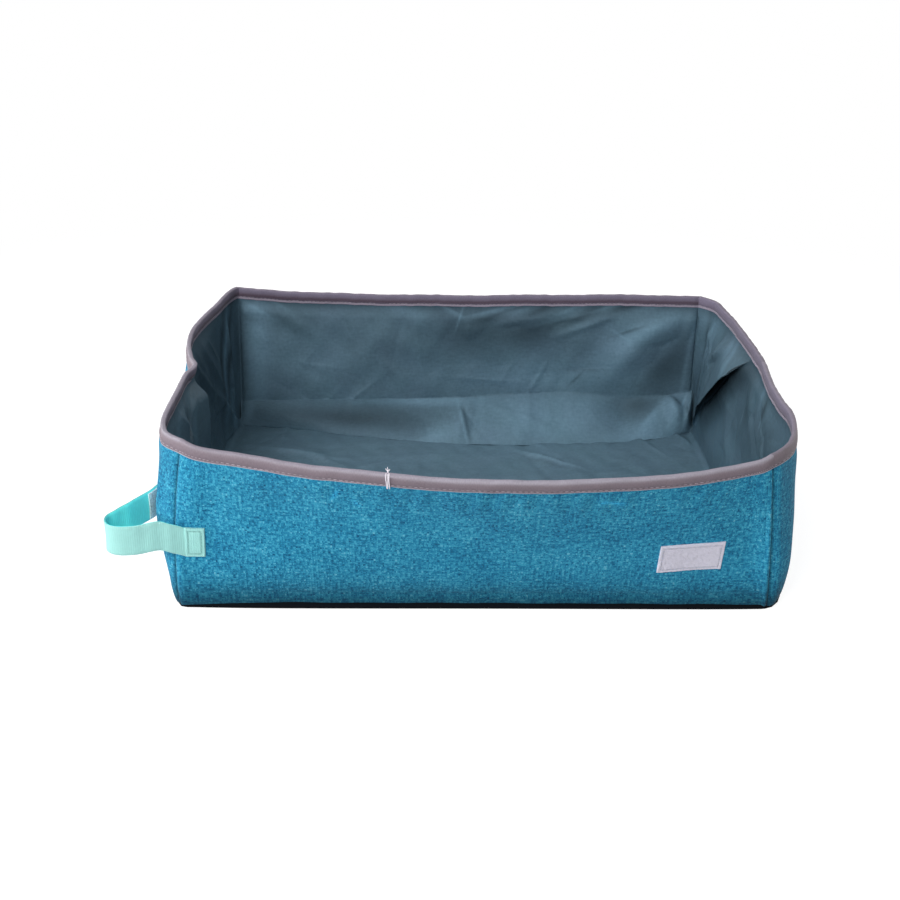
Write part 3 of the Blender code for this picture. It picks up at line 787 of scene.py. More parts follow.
# How far a fold pushes a point inwards, along the wall and up, and the painted shade that
# darkens the liner under the fold's ridge
def foldPush(fold, place, height):
    top = np.array(fold["top"])
    run = np.array(fold["foot"]) - top
    length = np.linalg.norm(run)
    run = run / length
    square = np.array([-run[1], run[0]])
    square = square * np.sign(square @ np.array(fold["gentleSide"], float))
    a = place - top[0]
    b = height - top[1]
    share = np.clip((a * run[0] + b * run[1]) / length, 0, 1)
    side = a * square[0] + b * square[1] - fold.get("bend", 0.0) * 4 * share * (1 - share)
    below = smooth(*foldWindow, rimHeight - height)
    window = np.sin(np.pi * share) ** 0.8 * below
    gentle = np.exp(-np.maximum(side, 0) / fold["gentle"])
    inwards = fold["inwards"] * window * np.where(side > 0, gentle, np.exp(-(side / fold["steep"]) ** 2))
    lean = np.where(side > 0, np.exp(-np.maximum(side, 0) / (fold["gentle"] * 0.4)),
                    np.exp(-(side / (fold["steep"] * 0.55)) ** 2))
    beyond = np.maximum(-side, 0)
    near, far = fold.get("darkReach", (0.0045, 0.016))
    shade = 0.5 * np.exp(-((beyond / near) ** 2)) + 0.5 * np.exp(-((beyond / far) ** 4))
    shadedSpan = np.sin(np.pi * np.clip(share / fold.get("darkTo", 1.0), 0, 1)) ** 0.4 * np.sqrt(below)
    shade = fold.get("dark", 0.0) * np.where(side < 0, shade, 0) * shadedSpan
    reach = -fold["over"] * window * lean
    return inwards, reach * square[0], reach * square[1], shade


# The corner at one end of a wall
def cornerOf(wall, end):
    if walls[wall]["long"]:
        return corners[wall, "left" if end < 0 else "right"]
    return corners["front" if end < 0 else "back", wall]


# Height as a share of the rise from the fold line to the rim
def riseShare(height):
    return np.maximum((height - hingeHeight) / (rimHeight - hingeHeight), 0)


# The rim sinks towards the middle of a wall and rises in a few places
def rimTop(wall, along):
    top = rimHeight - walls[wall]["dip"] * (1 - along**2)
    for centre, size, amount in walls[wall]["rises"]:
        top = top + amount * np.exp(-0.5 * ((along - centre) / size) ** 2)
    return top


# The wall's curve in plan at a height, before corners: a line that leans and bows
def planLine(wall, along, height):
    facts = walls[wall]
    rise = riseShare(height)
    first, last = facts["ends"]
    if facts["long"]:
        reach = halfLength + (last - halfLength) * rise
        x = along * reach
        out = halfWidth + (facts["lean"] + facts["bow"] * (1 - along**2)) * rise
        first, last = facts["footOut"]
        out = out + (first + (last - first) * (along + 1) / 2) * (1 - smooth(0.0, 0.085, height))
        return np.stack([x, facts["side"] * out], axis=-1)
    reach = halfWidth + (last - halfWidth) * rise
    y = along * reach
    frontAt, backAt = facts["rimAt"]
    rimOut = frontAt + (backAt - frontAt) * (along + 1) / 2
    out = halfLength + (rimOut - halfLength) * rise
    return np.stack([facts["side"] * out, y], axis=-1)


# The seam of a corner at a height, and the heading of the cloth across it
def seamAt(corner, height):
    share = np.clip(height / rimHeight, 0, 1.1)[..., None]
    foot, rim, belly = (np.array(corner[key]) for key in ("foot", "rim", "belly"))
    place = foot + (rim - foot) * share + belly * 4 * share * (1 - share)
    rimHeading, footHeading = corner["heading"]
    angle = np.radians(footHeading + (rimHeading - footHeading) * share[..., 0])
    return place, np.stack([np.cos(angle), np.sin(angle)], axis=-1)


# Outward amount of the swells and folds at a place along the wall and a height
def swellOut(wall, place, height):
    total = np.zeros(np.broadcast(place, height).shape)
    for centre, level, wide, tall, turn, amount in walls[wall]["swells"]:
        a, b = turned(place, height, centre, level, math.radians(turn))
        total += amount * np.exp(-0.5 * ((a / wide) ** 2 + (b / tall) ** 2))
    for fold in wallFolds.get(wall, []):
        total -= foldPush(fold, place, height)[0]
    return total


# The outer face of a wall. along runs from seam to seam, -1 to 1, to +X or +Y.
# The middle is the plan line with its swells; near a seam a cubic curve carries it
# round to the seam's place and heading.
def outerFace(wall, along, height):
    along, height = np.broadcast_arrays(np.asarray(along, float), np.asarray(height, float))
    facts = walls[wall]
    place = planLine(wall, along, height)
    step = 1e-4
    for end in (-1, 1):
        corner = cornerOf(wall, end)
        footShare, rimShare = facts["round"][end]
        share = footShare + (rimShare - footShare) * np.clip(height / rimHeight, 0, 1.1)
        start = end * (1 - share)
        first = planLine(wall, start, height)
        firstTurn = (planLine(wall, start + step, height) - first) / step * end
        last, heading = seamAt(corner, height)
        flip = end if facts["long"] else -facts["side"]
        lastTurn = heading * flip * np.linalg.norm(last - first, axis=-1, keepdims=True)
        t = ((end * along - (1 - share)) / share)[..., None]
        curve = cubic(t, first, firstTurn * share[..., None], last, lastTurn)
        place = np.where(t > 0, curve, place)
    axis = 0 if facts["long"] else 1
    fade = smooth(0, np.where(along > 0, facts.get("swellFade", 0.10), 0.10), 1 - np.abs(along))
    out = swellOut(wall, place[..., axis], height) * fade
    place = place.copy()
    place[..., 1 - axis] += facts["side"] * out
    return np.concatenate([place, height[..., None]], axis=-1)


# X of a wall's outer face, or Y on an end wall
def placeAt(wall, along, height):
    return outerFace(wall, along, height)[..., 0 if walls[wall]["long"] else 1]


# Whether along x up points to the outside of a wall
def looksOut(wall):
    return (walls[wall]["side"] < 0) == walls[wall]["long"]


# A point of a wall at a depth below its outer face, measured square to the face
def wallPoint(wall, along, height, depth):
    along, height, depth = np.broadcast_arrays(*(np.asarray(v, float) for v in (along, height, depth)))
    step = 1e-3
    rise = 1e-4
    face = outerFace(wall, along, height)
    inner = np.clip(along, -1 + step, 1 - step)
    acrossWay = outerFace(wall, inner + step, height) - outerFace(wall, inner - step, height)
    upWay = outerFace(wall, along, height + rise) - outerFace(wall, along, height - rise)
    normal = np.cross(acrossWay, upWay)
    normal /= np.linalg.norm(normal, axis=-1, keepdims=True)
    if not looksOut(wall):
        normal = -normal
    for end in (-1, 1):
        _, heading = seamAt(cornerOf(wall, end), height)
        bisector = np.stack([heading[..., 1], -heading[..., 0], np.zeros(height.shape)], axis=-1)
        bisector *= np.sign((bisector * normal).sum(-1, keepdims=True))
        near = smooth(0.985, 1.0, end * along)[..., None]
        normal = normal * (1 - near) + bisector * near
    return face - normal * depth[..., None]


# Where along a wall its outer face has a given X, or Y on an end wall: halving the range
def alongAt(wall, place, height):
    low = np.full(np.broadcast(place, height).shape, -1.0)
    high = -low
    axis = 0 if walls[wall]["long"] else 1
    for _ in range(24):
        middle = (low + high) / 2
        short = outerFace(wall, middle, height)[..., axis] < place
        low = np.where(short, middle, low)
        high = np.where(short, high, middle)
    return (low + high) / 2


# A grid over a wall, from one seam to the other and from a height to below the rim
def wallGrid(wall, columns, rows, low, belowRim, first=-1.0, last=1.0):
    along = stepsAcross(first, last, columns, rows)
    share = np.linspace(0, 1, rows)[:, None]
    height = low + (rimTop(wall, along) - belowRim - low) * share
    return along, height


# Rows and columns of a wall's grid, turned so that its faces look to the outside
def facing(wall, grid):
    return grid if looksOut(wall) else grid[:, ::-1]


# Distance to the nearest seam, in metres
def toSeam(wall, along):
    half = halfLength if walls[wall]["long"] else halfWidth
    return (1 - np.abs(along)) * half


# How far from a wall's seams, rim, fold line and diagonals its foam begins, and how far
# in it is full
foamFade = {
    "seam": (0.0025, 0.0065),
    "rim": (0.009, 0.020),
    "longFold": (0.001, 0.007),
    "endFold": (0.001, 0.005),
    "diagonal": (0.002, 0.007),
}


# 1 where the wall holds foam and 0 at its edges and over its gussets
def foamMask(wall, along, height):
    top = rimTop(wall, along)
    edge = smooth(*foamFade["seam"], toSeam(wall, along)) * smooth(*foamFade["rim"], top - height)
    if walls[wall]["long"]:
        near, far = foamFade["longFold"]
        return edge * smooth(hingeHeight + near, hingeHeight + far, height)
    near, far = foamFade["endFold"]
    place = np.abs(outerFace(wall, along, height)[..., 1])
    diagonal = (halfWidth - wallDepth) - (height - endHingeHeight)
    return edge * smooth(*foamFade["diagonal"], (diagonal - place) / math.sqrt(2)) * smooth(
        endHingeHeight + near, endHingeHeight + far, height)


endNames = {"left": "left_end", "right": "right_end"}
endHalves = [(wall, corner, first, last) for wall in endNames
             for corner, first, last in (("front", -1, 0), ("back", 0, 1))]


# An end piece keeps its place: its transform is baked into its mesh
def rideEnd(piece, wall, corner):
    sign = -1 if corner == "front" else 1
    x = walls[wall]["side"] * halfLength
    middle = Vector((x, sign * (halfWidth - wallDepth), endHingeHeight))
    corner + "_" + wall + "_gusset"
    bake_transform(piece)


# Half of an end piece stands for its gusset's node, and the front half for the end's too
def replaceEnd(wall, corner, part):
    replaced = [corner + "_" + wall + "_gusset_" + part]
    if corner == "front":
        replaced.append(wall + "_end_" + part)
    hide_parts(*replaced)


# A long wall's piece keeps its place: its transform is baked into its mesh
def rideLong(piece, wall):
    wall + "_wall"
    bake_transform(piece)


# The binding tape: how deep it reaches outside and inside, how it stands off the cloth,
# and its row of stitches
tape = {
    "deep": 0.0083,
    "deepInside": 0.0086,
    # worn: painted highlight on the crest at the start, middle and end of each wall; innerShade: painted
    # shade on the inner leg
    "worn": {"front": (0.9, 1.0, 0.5), "back": (0.3, 0.2, 0.2), "left": (0.9, 0.7, 0.3),
             "right": (0.5, 0.15, 0.2)},
    "innerShade": {"front": 0.6, "back": 0.95, "left": 0.85, "right": 0.30},
    "proud": 0.0006,
    "thick": 0.0006,
    "puff": 0.0005,
    "groove": 0.0006,
    "stitchAt": 0.0066,
    "stitchPitch": 0.0034,
    "stitchLength": 0.0024,
    "stitchWidth": 0.00055,
}

# ---- Outer cloth
clothShape = {
    "lowest": 0.0048,
    "cornerDrop": 0.0022,
    "belowRim": 0.0015,
    "tuck": 0.0024,
    "tuckHeight": 0.0150,
    "footShade": 0.72,
    "footShadeHeight": 0.0180,
    "seamGroove": 0.0009,
    "seamWidth": 0.0011,
    "seamShade": 0.62,
    "besideSeam": 0.0007,
    "besideAt": 0.0045,
    "besideWidth": 0.0025,
    "foldGroove": 0.0004,
    "foldWidth": 0.0018,
    "ripple": 0.00045,
    "rippleSize": 0.055,
    "pucker": 0.00045,
    "puckerSize": 0.013,
    "puckerBelow": 0.016,
    "puckerReach": 0.010,
}


# How far the walls' cloth turns in above its lower edge
def footTuck(height):
    return clothShape["tuck"] * np.clip(1 - height / clothShape["tuckHeight"], 0, 1) ** 2.2


# Depth of the cloth's face: waves and puckers below the binding, which end at the seams,
# the sunk seams with a swell beside them, the foot's tuck, and a groove at a fold line
def clothRelief(wall, along, height, seed):
    place = placeAt(wall, along, height)
    relief = clothShape["ripple"] * waves(place, height, clothShape["rippleSize"], seed)
    below = rimTop(wall, along) - height
    pucker = waves(place, height * 0.15, clothShape["puckerSize"], seed + 1, 7)
    pucker = pucker * np.exp(-((below - clothShape["puckerBelow"]) / clothShape["puckerReach"]) ** 2)
    relief = relief + clothShape["pucker"] * pucker
    free = smooth(tape["deep"] * 0.6, tape["deep"] * 1.5, below)
    away = toSeam(wall, along)
    relief = relief * free * smooth(0, 0.01, away)
    relief = relief + clothShape["seamGroove"] * np.exp(-((away / clothShape["seamWidth"]) ** 2))
    beside = np.exp(-(((away - clothShape["besideAt"]) / clothShape["besideWidth"]) ** 2))
    relief = relief - clothShape["besideSeam"] * beside * free + footTuck(height)
    if walls[wall]["long"]:
        groove = np.exp(-(((height - hingeHeight) / clothShape["foldWidth"]) ** 2))
        relief = relief + clothShape["foldGroove"] * groove
    return relief


# Seeds of the random draws of each wall's cloth, liner and binding
clothSeeds = {"front": 11, "back": 12, "left": 21, "right": 22}
linerSeeds = {"front": 32, "back": 31, "left": 33, "right": 34}
tapeSeeds = {"front": 61, "back": 62, "left": 71, "right": 72}


# A wall's outer cloth. Its lower edge drops a little into the corners.
def makeOuterCloth(name, wall, first, last, columns, rows):
    low = clothShape["lowest"] - clothShape["cornerDrop"] * np.linspace(first, last, columns)[None, :] ** 8
    along, height = wallGrid(wall, columns, rows, low, clothShape["belowRim"], first, last)
    depth = clothRelief(wall, along, height, clothSeeds[wall])
    outer = facing(wall, wallPoint(wall, along, height, depth))
    inner = facing(wall, wallPoint(wall, along, height, depth + clothDepth))
    # Painted shade: the cloth darkens in its sunk seams and towards its foot
    tone = 1 - clothShape["seamShade"] * np.exp(-((toSeam(wall, along) / clothShape["seamWidth"]) ** 2))
    tone *= 1 - clothShape["footShade"] * np.exp(-((height / clothShape["footShadeHeight"]) ** 2))
    # The front also takes its painted light and shade, and a few pale marks
    if wall == "front":
        tone *= 1 + shadingAndMarksAt(wall, placeAt(wall, along, height), height)
    return makeSheet(name, outer, inner, looks["heather"], {"tone": facing(wall, tone - 1)})


for wall in ("front", "back"):
    cloth = makeOuterCloth(wall + "_cloth", wall, -1, 1, 261, 79)
    rideLong(cloth, wall)
    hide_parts(wall + "_shell", wall + "_skirt")
    wall + "_stiffener"
for wall, corner, first, last in endHalves:
    cloth = makeOuterCloth(wall + "_end_" + corner + "_cloth", wall, first, last, 111, 79)
    rideEnd(cloth, wall, corner)
    replaceEnd(wall, corner, "shell")
    wall + "_end_stiffener"
print("outer cloth made")


# Depth at which the liner lies on the foam, or on the cloth where there is none
def linerBed(wall, along, height):
    return gussetDepth + (wallDepth - gussetDepth) * foamMask(wall, along, height) + footTuck(height)


# ---- Foam stiffeners
foamShape = {
    "halfShare": 0.925,
    "aboveFold": 0.003,
    "belowRim": 0.018,
    "besideGusset": 0.011,
    "clear": 0.0001,
    "thinnest": 0.0003,
    "baseInset": 0.004,
}


# A sheet of foam in a wall: an even strip in a long one, a trapezium between the gussets
# of an end. It lies between the cloth and the liner's bed.
def makeStiffener(wall):
    isLong = walls[wall]["long"]
    rows, columns = 31, 81 if isLong else 61
    share = np.linspace(0, 1, rows)[:, None]
    low = (hingeHeight if isLong else endHingeHeight) + foamShape["aboveFold"]
    if isLong:
        along = stepsAcross(-foamShape["halfShare"], foamShape["halfShare"], columns, rows)
        height = low + (rimTop(wall, along) - foamShape["belowRim"] - low) * share
    else:
        height = low + (rimHeight - foamShape["belowRim"] - low) * share * np.ones((1, columns))
        reach = halfWidth - wallDepth - (height - endHingeHeight) - foamShape["besideGusset"]
        along = alongAt(wall, reach * np.linspace(-1, 1, columns)[None, :], height)
    cloth = clothRelief(wall, along, height, clothSeeds[wall]) + clothDepth
    near = np.maximum(foamFrom, cloth) + foamShape["clear"]
    bed = linerBed(wall, along, height) - linerDepth - 2 * foamShape["clear"]
    far = np.maximum(np.minimum(foamTo, bed) - foamShape["clear"], near + foamShape["thinnest"])
    name = wall if isLong else endNames[wall]
    foam = makeSheet(name + "_stiffener", facing(wall, wallPoint(wall, along, height, near)),
                     facing(wall, wallPoint(wall, along, height, far)), looks["foam"])
    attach(foam, wall + "_wall" if isLong else endNames[wall])
    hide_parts(name + "_foam")


for wall in walls:
    makeStiffener(wall)
print("stiffeners made")

# ---- Liner of the walls
linerShape = {
    "belowRim": 0.0015,
    "crinkle": 0.00050,
    "crinkleSize": 0.030,
    "creaseCount": 46,
    "creaseWidth": 0.0028,
    "tapeShadow": 0.30,
    "tapeShadowReach": 0.0045,
    "lowest": wallDepth - 0.0004,
}


# Short sharp creases scattered over a wall: each a narrow ridge that fades at its ends
def scatteredCreases(place, height, low, high, top, seed, count, depth=0.0007):
    draw = np.random.default_rng(seed)
    total = np.zeros(np.broadcast(place, height).shape)
    for _ in range(count):
        centre = draw.uniform(low, high)
        level = draw.uniform(0.01, top)
        angle = draw.uniform(0, np.pi)
        length = draw.uniform(0.010, 0.034)
        amount = draw.normal() * depth
        a, b = turned(place, height, centre, level, angle)
        total += amount * np.exp(-(a / length) ** 2) * np.exp(-np.abs(b) / linerShape["creaseWidth"])
    return total


# Creases of the liner that the photograph shows: wall, place, height, length, width,
# turn in degrees, amount inwards
shownCreases = {
    "back": [
        (0.150, 0.084, 0.046, 0.014, 45, 0.0060),
        (0.178, 0.056, 0.034, 0.020, 58, -0.0060),
        (0.060, 0.104, 0.040, 0.0040, 14, 0.0018),
        (0.105, 0.098, 0.032, 0.0035, 22, 0.0020),
        (0.010, 0.109, 0.032, 0.0030, -8, 0.0018),
        (-0.045, 0.111, 0.026, 0.0030, 10, 0.0016),
        (0.090, 0.108, 0.018, 0.0025, 35, -0.0014),
        (0.040, 0.112, 0.018, 0.0025, 30, -0.0012),
        (-0.150, 0.095, 0.030, 0.0060, -35, 0.0016),
        (-0.100, 0.060, 0.040, 0.0120, 40, 0.0020),
        (0.020, 0.075, 0.050, 0.0160, 5, -0.0024),
        (-0.060, 0.080, 0.045, 0.0140, -20, 0.0020),
        (0.060, 0.048, 0.016, 0.0022, 62, 0.0012),
        (0.190, 0.100, 0.030, 0.0050, 80, 0.0022),
    ],
    "front": [
        (-0.060, 0.070, 0.050, 0.0100, 12, 0.0015),
        (0.090, 0.060, 0.040, 0.0100, -25, 0.0015),
    ],
    "left": [
        (-0.060, 0.075, 0.040, 0.0040, 84, 0.0022),
        (-0.085, 0.070, 0.040, 0.0035, 95, -0.0018),
        (-0.010, 0.070, 0.035, 0.0040, 75, -0.0025),
        (0.132, 0.065, 0.050, 0.0030, 90, 0.0022),
        (0.118, 0.065, 0.050, 0.0040, 92, -0.0018),
        (0.040, 0.050, 0.030, 0.0060, 60, -0.0025),
    ],
    "right": [
        (0.100, 0.085, 0.040, 0.0040, 84, 0.0018),
        (0.120, 0.080, 0.050, 0.0035, 90, -0.0016),
        (0.136, 0.070, 0.050, 0.0030, 88, 0.0020),
        (-0.020, 0.080, 0.024, 0.0060, 35, 0.0022),
        (-0.045, 0.095, 0.020, 0.0045, 60, -0.0020),
        (0.030, 0.050, 0.024, 0.0070, 50, 0.0018),
        (-0.080, 0.070, 0.030, 0.0060, 20, 0.0016),
    ],
}


# Sum of a wall's shown creases, each a ridge that fades along and beside its line
def creaseIn(wall, place, height):
    total = np.zeros(np.broadcast(place, height).shape)
    for centre, level, length, width, turn, amount in shownCreases[wall]:
        a, b = turned(place, height, centre, level, math.radians(turn))
        total += amount * np.exp(-(a / length) ** 2) * np.exp(-(b / width) ** 2)
    return total


# Depth of the liner's visible face below the wall's outer face
def linerFaceDepth(wall, along, height, seed):
    place = placeAt(wall, along, height)
    depth = linerBed(wall, along, height)
    slack = smooth(0.0, 0.020, rimTop(wall, along) - 0.008 - height) * smooth(0, 0.010, toSeam(wall, along))
    free = linerShape["crinkle"] * (1 + waves(place, height, linerShape["crinkleSize"], seed))
    scatter = scatteredCreases(place, height, place.min(), place.max(), rimHeight, seed + 5,
                               linerShape["creaseCount"])
    folds = free + scatter + creaseIn(wall, place, height)
    lowest = np.where(foamMask(wall, along, height) > 0.5, -0.0002, 0.0)
    return depth + np.maximum(folds * slack, lowest)


# The liner's visible face, and the face behind it
def linerFaces(wall, along, height):
    depth = linerFaceDepth(wall, along, height, linerSeeds[wall])
    behind = np.minimum(depth - linerDepth, depth * 0.7)
    return wallPoint(wall, along, height, depth), wallPoint(wall, along, height, behind)


# Painted shadow: the liner is a little darker right under the tape
def tapeShadow(wall, along, height):
    below = np.maximum(rimTop(wall, along) - height - tape["deepInside"], 0)
    return 1 - linerShape["tapeShadow"] * np.exp(-((below / linerShape["tapeShadowReach"]) ** 2))


# The back liner leaves its wall at a fold line and slopes down to a foot on the base:
# height of the fold line and distance of the foot line, as they change along X
backRamp = {
    "x": (-0.200, -0.150, -0.100, -0.050, -0.007, 0.046, 0.090, 0.135, 0.170, 0.200),
    "footY": (0.1400, 0.1300, 0.1190, 0.1085, 0.1040, 0.1035, 0.1075, 0.1130, 0.1240, 0.1390),
    "foldZ": (0.0240, 0.0258, 0.0275, 0.0288, 0.0305, 0.0345, 0.0370, 0.0330, 0.0350, 0.0400),
    "convex": (0.60, 0.60, 0.50, 0.25, 0.05, 0.0, 0.0, 0.10, 0.25, 0.40),
    "wave": (0.0008, 0.060, 41),
    "ripple": (0.0002, 0.016, 42),
    "creases": (43, 26, 0.0006),
    "under": (0, 0.0004, -0.0004),
}

# Folds across the ramp: place along X, lean, size, height
rampFolds = [
    (-0.006, 0.010, 0.0050, 0.0018),
    (0.006, 0.010, 0.0040, -0.0014),
    (0.136, 0.000, 0.0200, -0.0055),
    (0.182, -0.012, 0.0070, 0.0050),
    (0.194, 0.006, 0.0030, 0.0040),
    (0.050, 0.012, 0.0080, 0.0010),
]


# A value of the ramp at a place along X
def rampAt(key, x):
    return np.interp(x, backRamp["x"], backRamp[key])


# From the foot a quadratic curve climbs to the fold line, then the sheet follows the wall
def makeBackLiner():
    columns, rampRows, wallRows = 301, 34, 84
    along = np.linspace(-1, 1, columns)[None, :]
    foldAt = rampAt("foldZ", along * halfLength)
    share = np.linspace(0, 1, wallRows)[:, None]
    height = foldAt + (rimTop("back", along) - linerShape["belowRim"] - foldAt) * share
    alongWall = along * np.ones((wallRows, 1))
    face, behind = linerFaces("back", alongWall, height)
    fold = face[0]
    climb = np.linspace(0, 1, rampRows)[:-1, None, None]
    x = fold[:, 0]
    footY = rampAt("footY", x)
    foot = np.stack([x, footY, np.full_like(x, wallDepth + 0.0009)], axis=-1)
    straight = (foot + fold) / 2
    bulged = np.stack([x, footY + 0.0015, fold[:, 2] - 0.004], axis=-1)
    knee = straight + (bulged - straight) * rampAt("convex", x)[:, None]
    slope = (1 - climb) ** 2 * foot + 2 * climb * (1 - climb) * knee + climb**2 * fold
    span = np.sin(np.pi * climb[..., 0]) ** 0.8
    across, back = slope[..., 0], slope[..., 1]
    amount, size, seed = backRamp["wave"]
    bulge = amount * waves(across, back * 0.6, size, seed)
    amount, size, seed = backRamp["ripple"]
    bulge += amount * waves(across, back, size, seed)
    bulge += scatteredCreases(across, back - 0.10, -0.2, 0.2, 0.045, *backRamp["creases"])
    for centre, lean, size, amount in rampFolds:
        bulge += amount * np.exp(-(((across - centre) - lean * (climb[..., 0] - 0.5)) / size) ** 2)
    slope[..., 2] += bulge * span
    slope[..., 1] -= bulge * span
    upper = np.concatenate([slope, face])
    lower = np.concatenate([slope + np.array(backRamp["under"]), behind])
    # Painted light and shade of the ramp and the wall, and the painted shadow under the tape
    tone = np.concatenate([
        shadingAndMarksAt("ramp", across, climb[..., 0] * 0.04 * np.ones_like(across)),
        (1 + shadingAndMarksAt("back", placeAt("back", alongWall, height), height))
        * tapeShadow("back", alongWall, height) - 1])
    piece = makeSheet("back_liner_cloth", upper, lower, looks["liner"], {"tone": tone})
    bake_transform(piece)
    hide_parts("back_liner")


makeBackLiner()


# The liner of the front wall or of half an end: the wall's relief and its own folds
def makeWallLiner(name, wall, first, last, columns, rows):
    along, height = wallGrid(wall, columns, rows, linerShape["lowest"], linerShape["belowRim"], first, last)
    face, behind = linerFaces(wall, along, height)
    place = placeAt(wall, along, height)
    # Painted light and shade, the painted shadow under the tape, and the painted shade below each fold's
    # ridge
    shown = 0 if wall == "front" else shadingAndMarksAt(wall, place, height)
    tone = (1 + shown) * tapeShadow(wall, along, height)
    for fold in linerFolds[wall]:
        inwards, across, up, shade = foldPush(fold, place, height)
        tone = tone * (1 - shade)
        push = np.stack([-walls[wall]["side"] * inwards, across, up], axis=-1)
        face, behind = face + push, behind + push
    return makeSheet(name, facing(wall, behind), facing(wall, face), looks["liner"],
                     {"tone": facing(wall, tone - 1)})


liner = makeWallLiner("front_liner_cloth", "front", -1, 1, 241, 81)
rideLong(liner, "front")
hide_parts("front_liner")
for wall, corner, first, last in endHalves:
    liner = makeWallLiner(wall + "_end_" + corner + "_liner_cloth", wall, first, last, 241, 121)
    rideEnd(liner, wall, corner)
    replaceEnd(wall, corner, "liner")
    wall + "_end_stiffener"
print("liner of the walls made")


# ---- Base: liner, foam and dark underside
baseShape = {
    "inset": 0.0026,
    "swell": 0.0010,
    "swellSize": 0.090,
    "swellSpread": 0.7,
    "ripple": 0.0004,
    "rippleSize": 0.022,
    "creases": 60,
    "creaseDepth": 0.0008,
    "flatEdge": 0.014,
    "bend": 0.0052,
    "behind": 0.0012,
}
baseSeeds = {"swell": 51, "ripple": 52, "creases": 53}

# Creases of the base liner: x, y, length, width, turn in degrees, amount upwards
baseCreases = [
    (0.067, 0.074, 0.030, 0.0028, -36, 0.0026),
    (0.056, 0.060, 0.026, 0.0040, -70, -0.0020),
    (-0.140, 0.078, 0.040, 0.0100, -16, 0.0028),
    (-0.110, 0.058, 0.034, 0.0080, -40, 0.0024),
    (0.120, 0.050, 0.040, 0.0060, 10, 0.0012),
    (0.188, 0.118, 0.024, 0.0045, -64, 0.0035),
    (0.172, 0.110, 0.020, 0.0045, -40, -0.0028),
    (0.020, 0.040, 0.060, 0.0100, 4, 0.0012),
    (-0.040, 0.080, 0.050, 0.0070, 8, 0.0012),
]


# A grid over the base whose edges keep a distance inside the walls' outer faces
def baseGrid(columns, rows, inset):
    across = np.linspace(-1, 1, columns)
    across = across + 0.12 * np.sin(np.pi * across)
    along = np.linspace(-1, 1, rows)
    along = along + 0.12 * np.sin(np.pi * along)
    levels = np.full_like(along, wallDepth)
    west = wallPoint("left", along, levels, inset)
    east = wallPoint("right", along, levels, inset)
    levels = np.full_like(across, wallDepth)
    south = wallPoint("front", across, levels, inset)
    north = wallPoint("back", across, levels, inset)
    u = (across[None, :, None] + 1) / 2
    v = (along[:, None, None] + 1) / 2
    corner = (south[None, :1] * (1 - u) + south[None, -1:] * u) * (1 - v) \
        + (north[None, :1] * (1 - u) + north[None, -1:] * u) * v
    grid = west[:, None] * (1 - u) + east[:, None] * u + south[None] * (1 - v) + north[None] * v - corner
    return grid[..., 0], grid[..., 1]


def makeBase():
    columns, rows = 241, 181
    edgeX = halfLength - wallDepth
    edgeY = halfWidth - wallDepth
    x, y = baseGrid(columns, rows, baseShape["inset"])
    swell = waves(x, y, baseShape["swellSize"], baseSeeds["swell"])
    lift = baseShape["swell"] * (1 + baseShape["swellSpread"] * swell)
    lift = lift + baseShape["ripple"] * waves(x, y, baseShape["rippleSize"], baseSeeds["ripple"])
    lift += np.abs(scatteredCreases(x, y + 0.15, -0.2, 0.2, 0.30, baseSeeds["creases"],
                                    baseShape["creases"], baseShape["creaseDepth"]))
    for creaseX, creaseY, length, width, turn, amount in baseCreases:
        a, b = turned(x, y, creaseX, creaseY, math.radians(turn))
        lift += amount * np.exp(-(a / length) ** 2) * np.exp(-np.abs(b) / width)
    toEdge = np.minimum.reduce([
        np.hypot(x - x[:, :1], y - y[:, :1]), np.hypot(x - x[:, -1:], y - y[:, -1:]),
        np.hypot(x - x[:1], y - y[:1]), np.hypot(x - x[-1:], y - y[-1:])])
    bend = baseShape["bend"]
    inside = np.clip(bend - np.maximum(toEdge - baseShape["behind"], 0), 0, bend)
    rise = bend - np.sqrt(bend**2 - inside**2)
    face = wallDepth + np.maximum(lift, 0.0) * smooth(0, baseShape["flatEdge"], toEdge) + rise
    upper = np.stack([x, y, face], axis=-1)
    lower = np.stack([x, y, np.full_like(x, wallDepth - linerDepth)], axis=-1)
    # Its tone attribute carries the painted highlights and shadows of the base's creases
    liner = makeSheet("base_liner_cloth", upper, lower, looks["liner"], {"tone": shadingAndMarksAt("base", x, y)})
    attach(liner, "base")
    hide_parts("base_liner")
    inset = foamShape["baseInset"]
    foamX = stepsAcross(-edgeX + inset, edgeX - inset, 41, 31)
    foamY = stepsAcross(-edgeY + inset, edgeY - inset, 31, 41).T
    upper = np.stack([foamX, foamY, np.full_like(foamX, foamTo - foamShape["clear"])], axis=-1)
    lower = np.stack([foamX, foamY, np.full_like(foamX, foamFrom + foamShape["clear"])], axis=-1)
    foam = makeSheet("base_stiffener", upper, lower, looks["foam"])
    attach(foam, "base")
    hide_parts("base_foam")


# The outline of the tray in plan at a height and depth, seam by seam, anticlockwise
def outline(height, depth, cornerSet=0.0, perSide=60):
    parts = []
    for wall, forward in (("front", True), ("right", True), ("back", False), ("left", False)):
        along = np.linspace(-1, 1, perSide + 1)
        if not forward:
            along = along[::-1]
        depths = depth + cornerSet * along**8
        parts.append(wallPoint(wall, along, np.full(perSide + 1, height), depths)[:-1])
    return np.concatenate(parts)


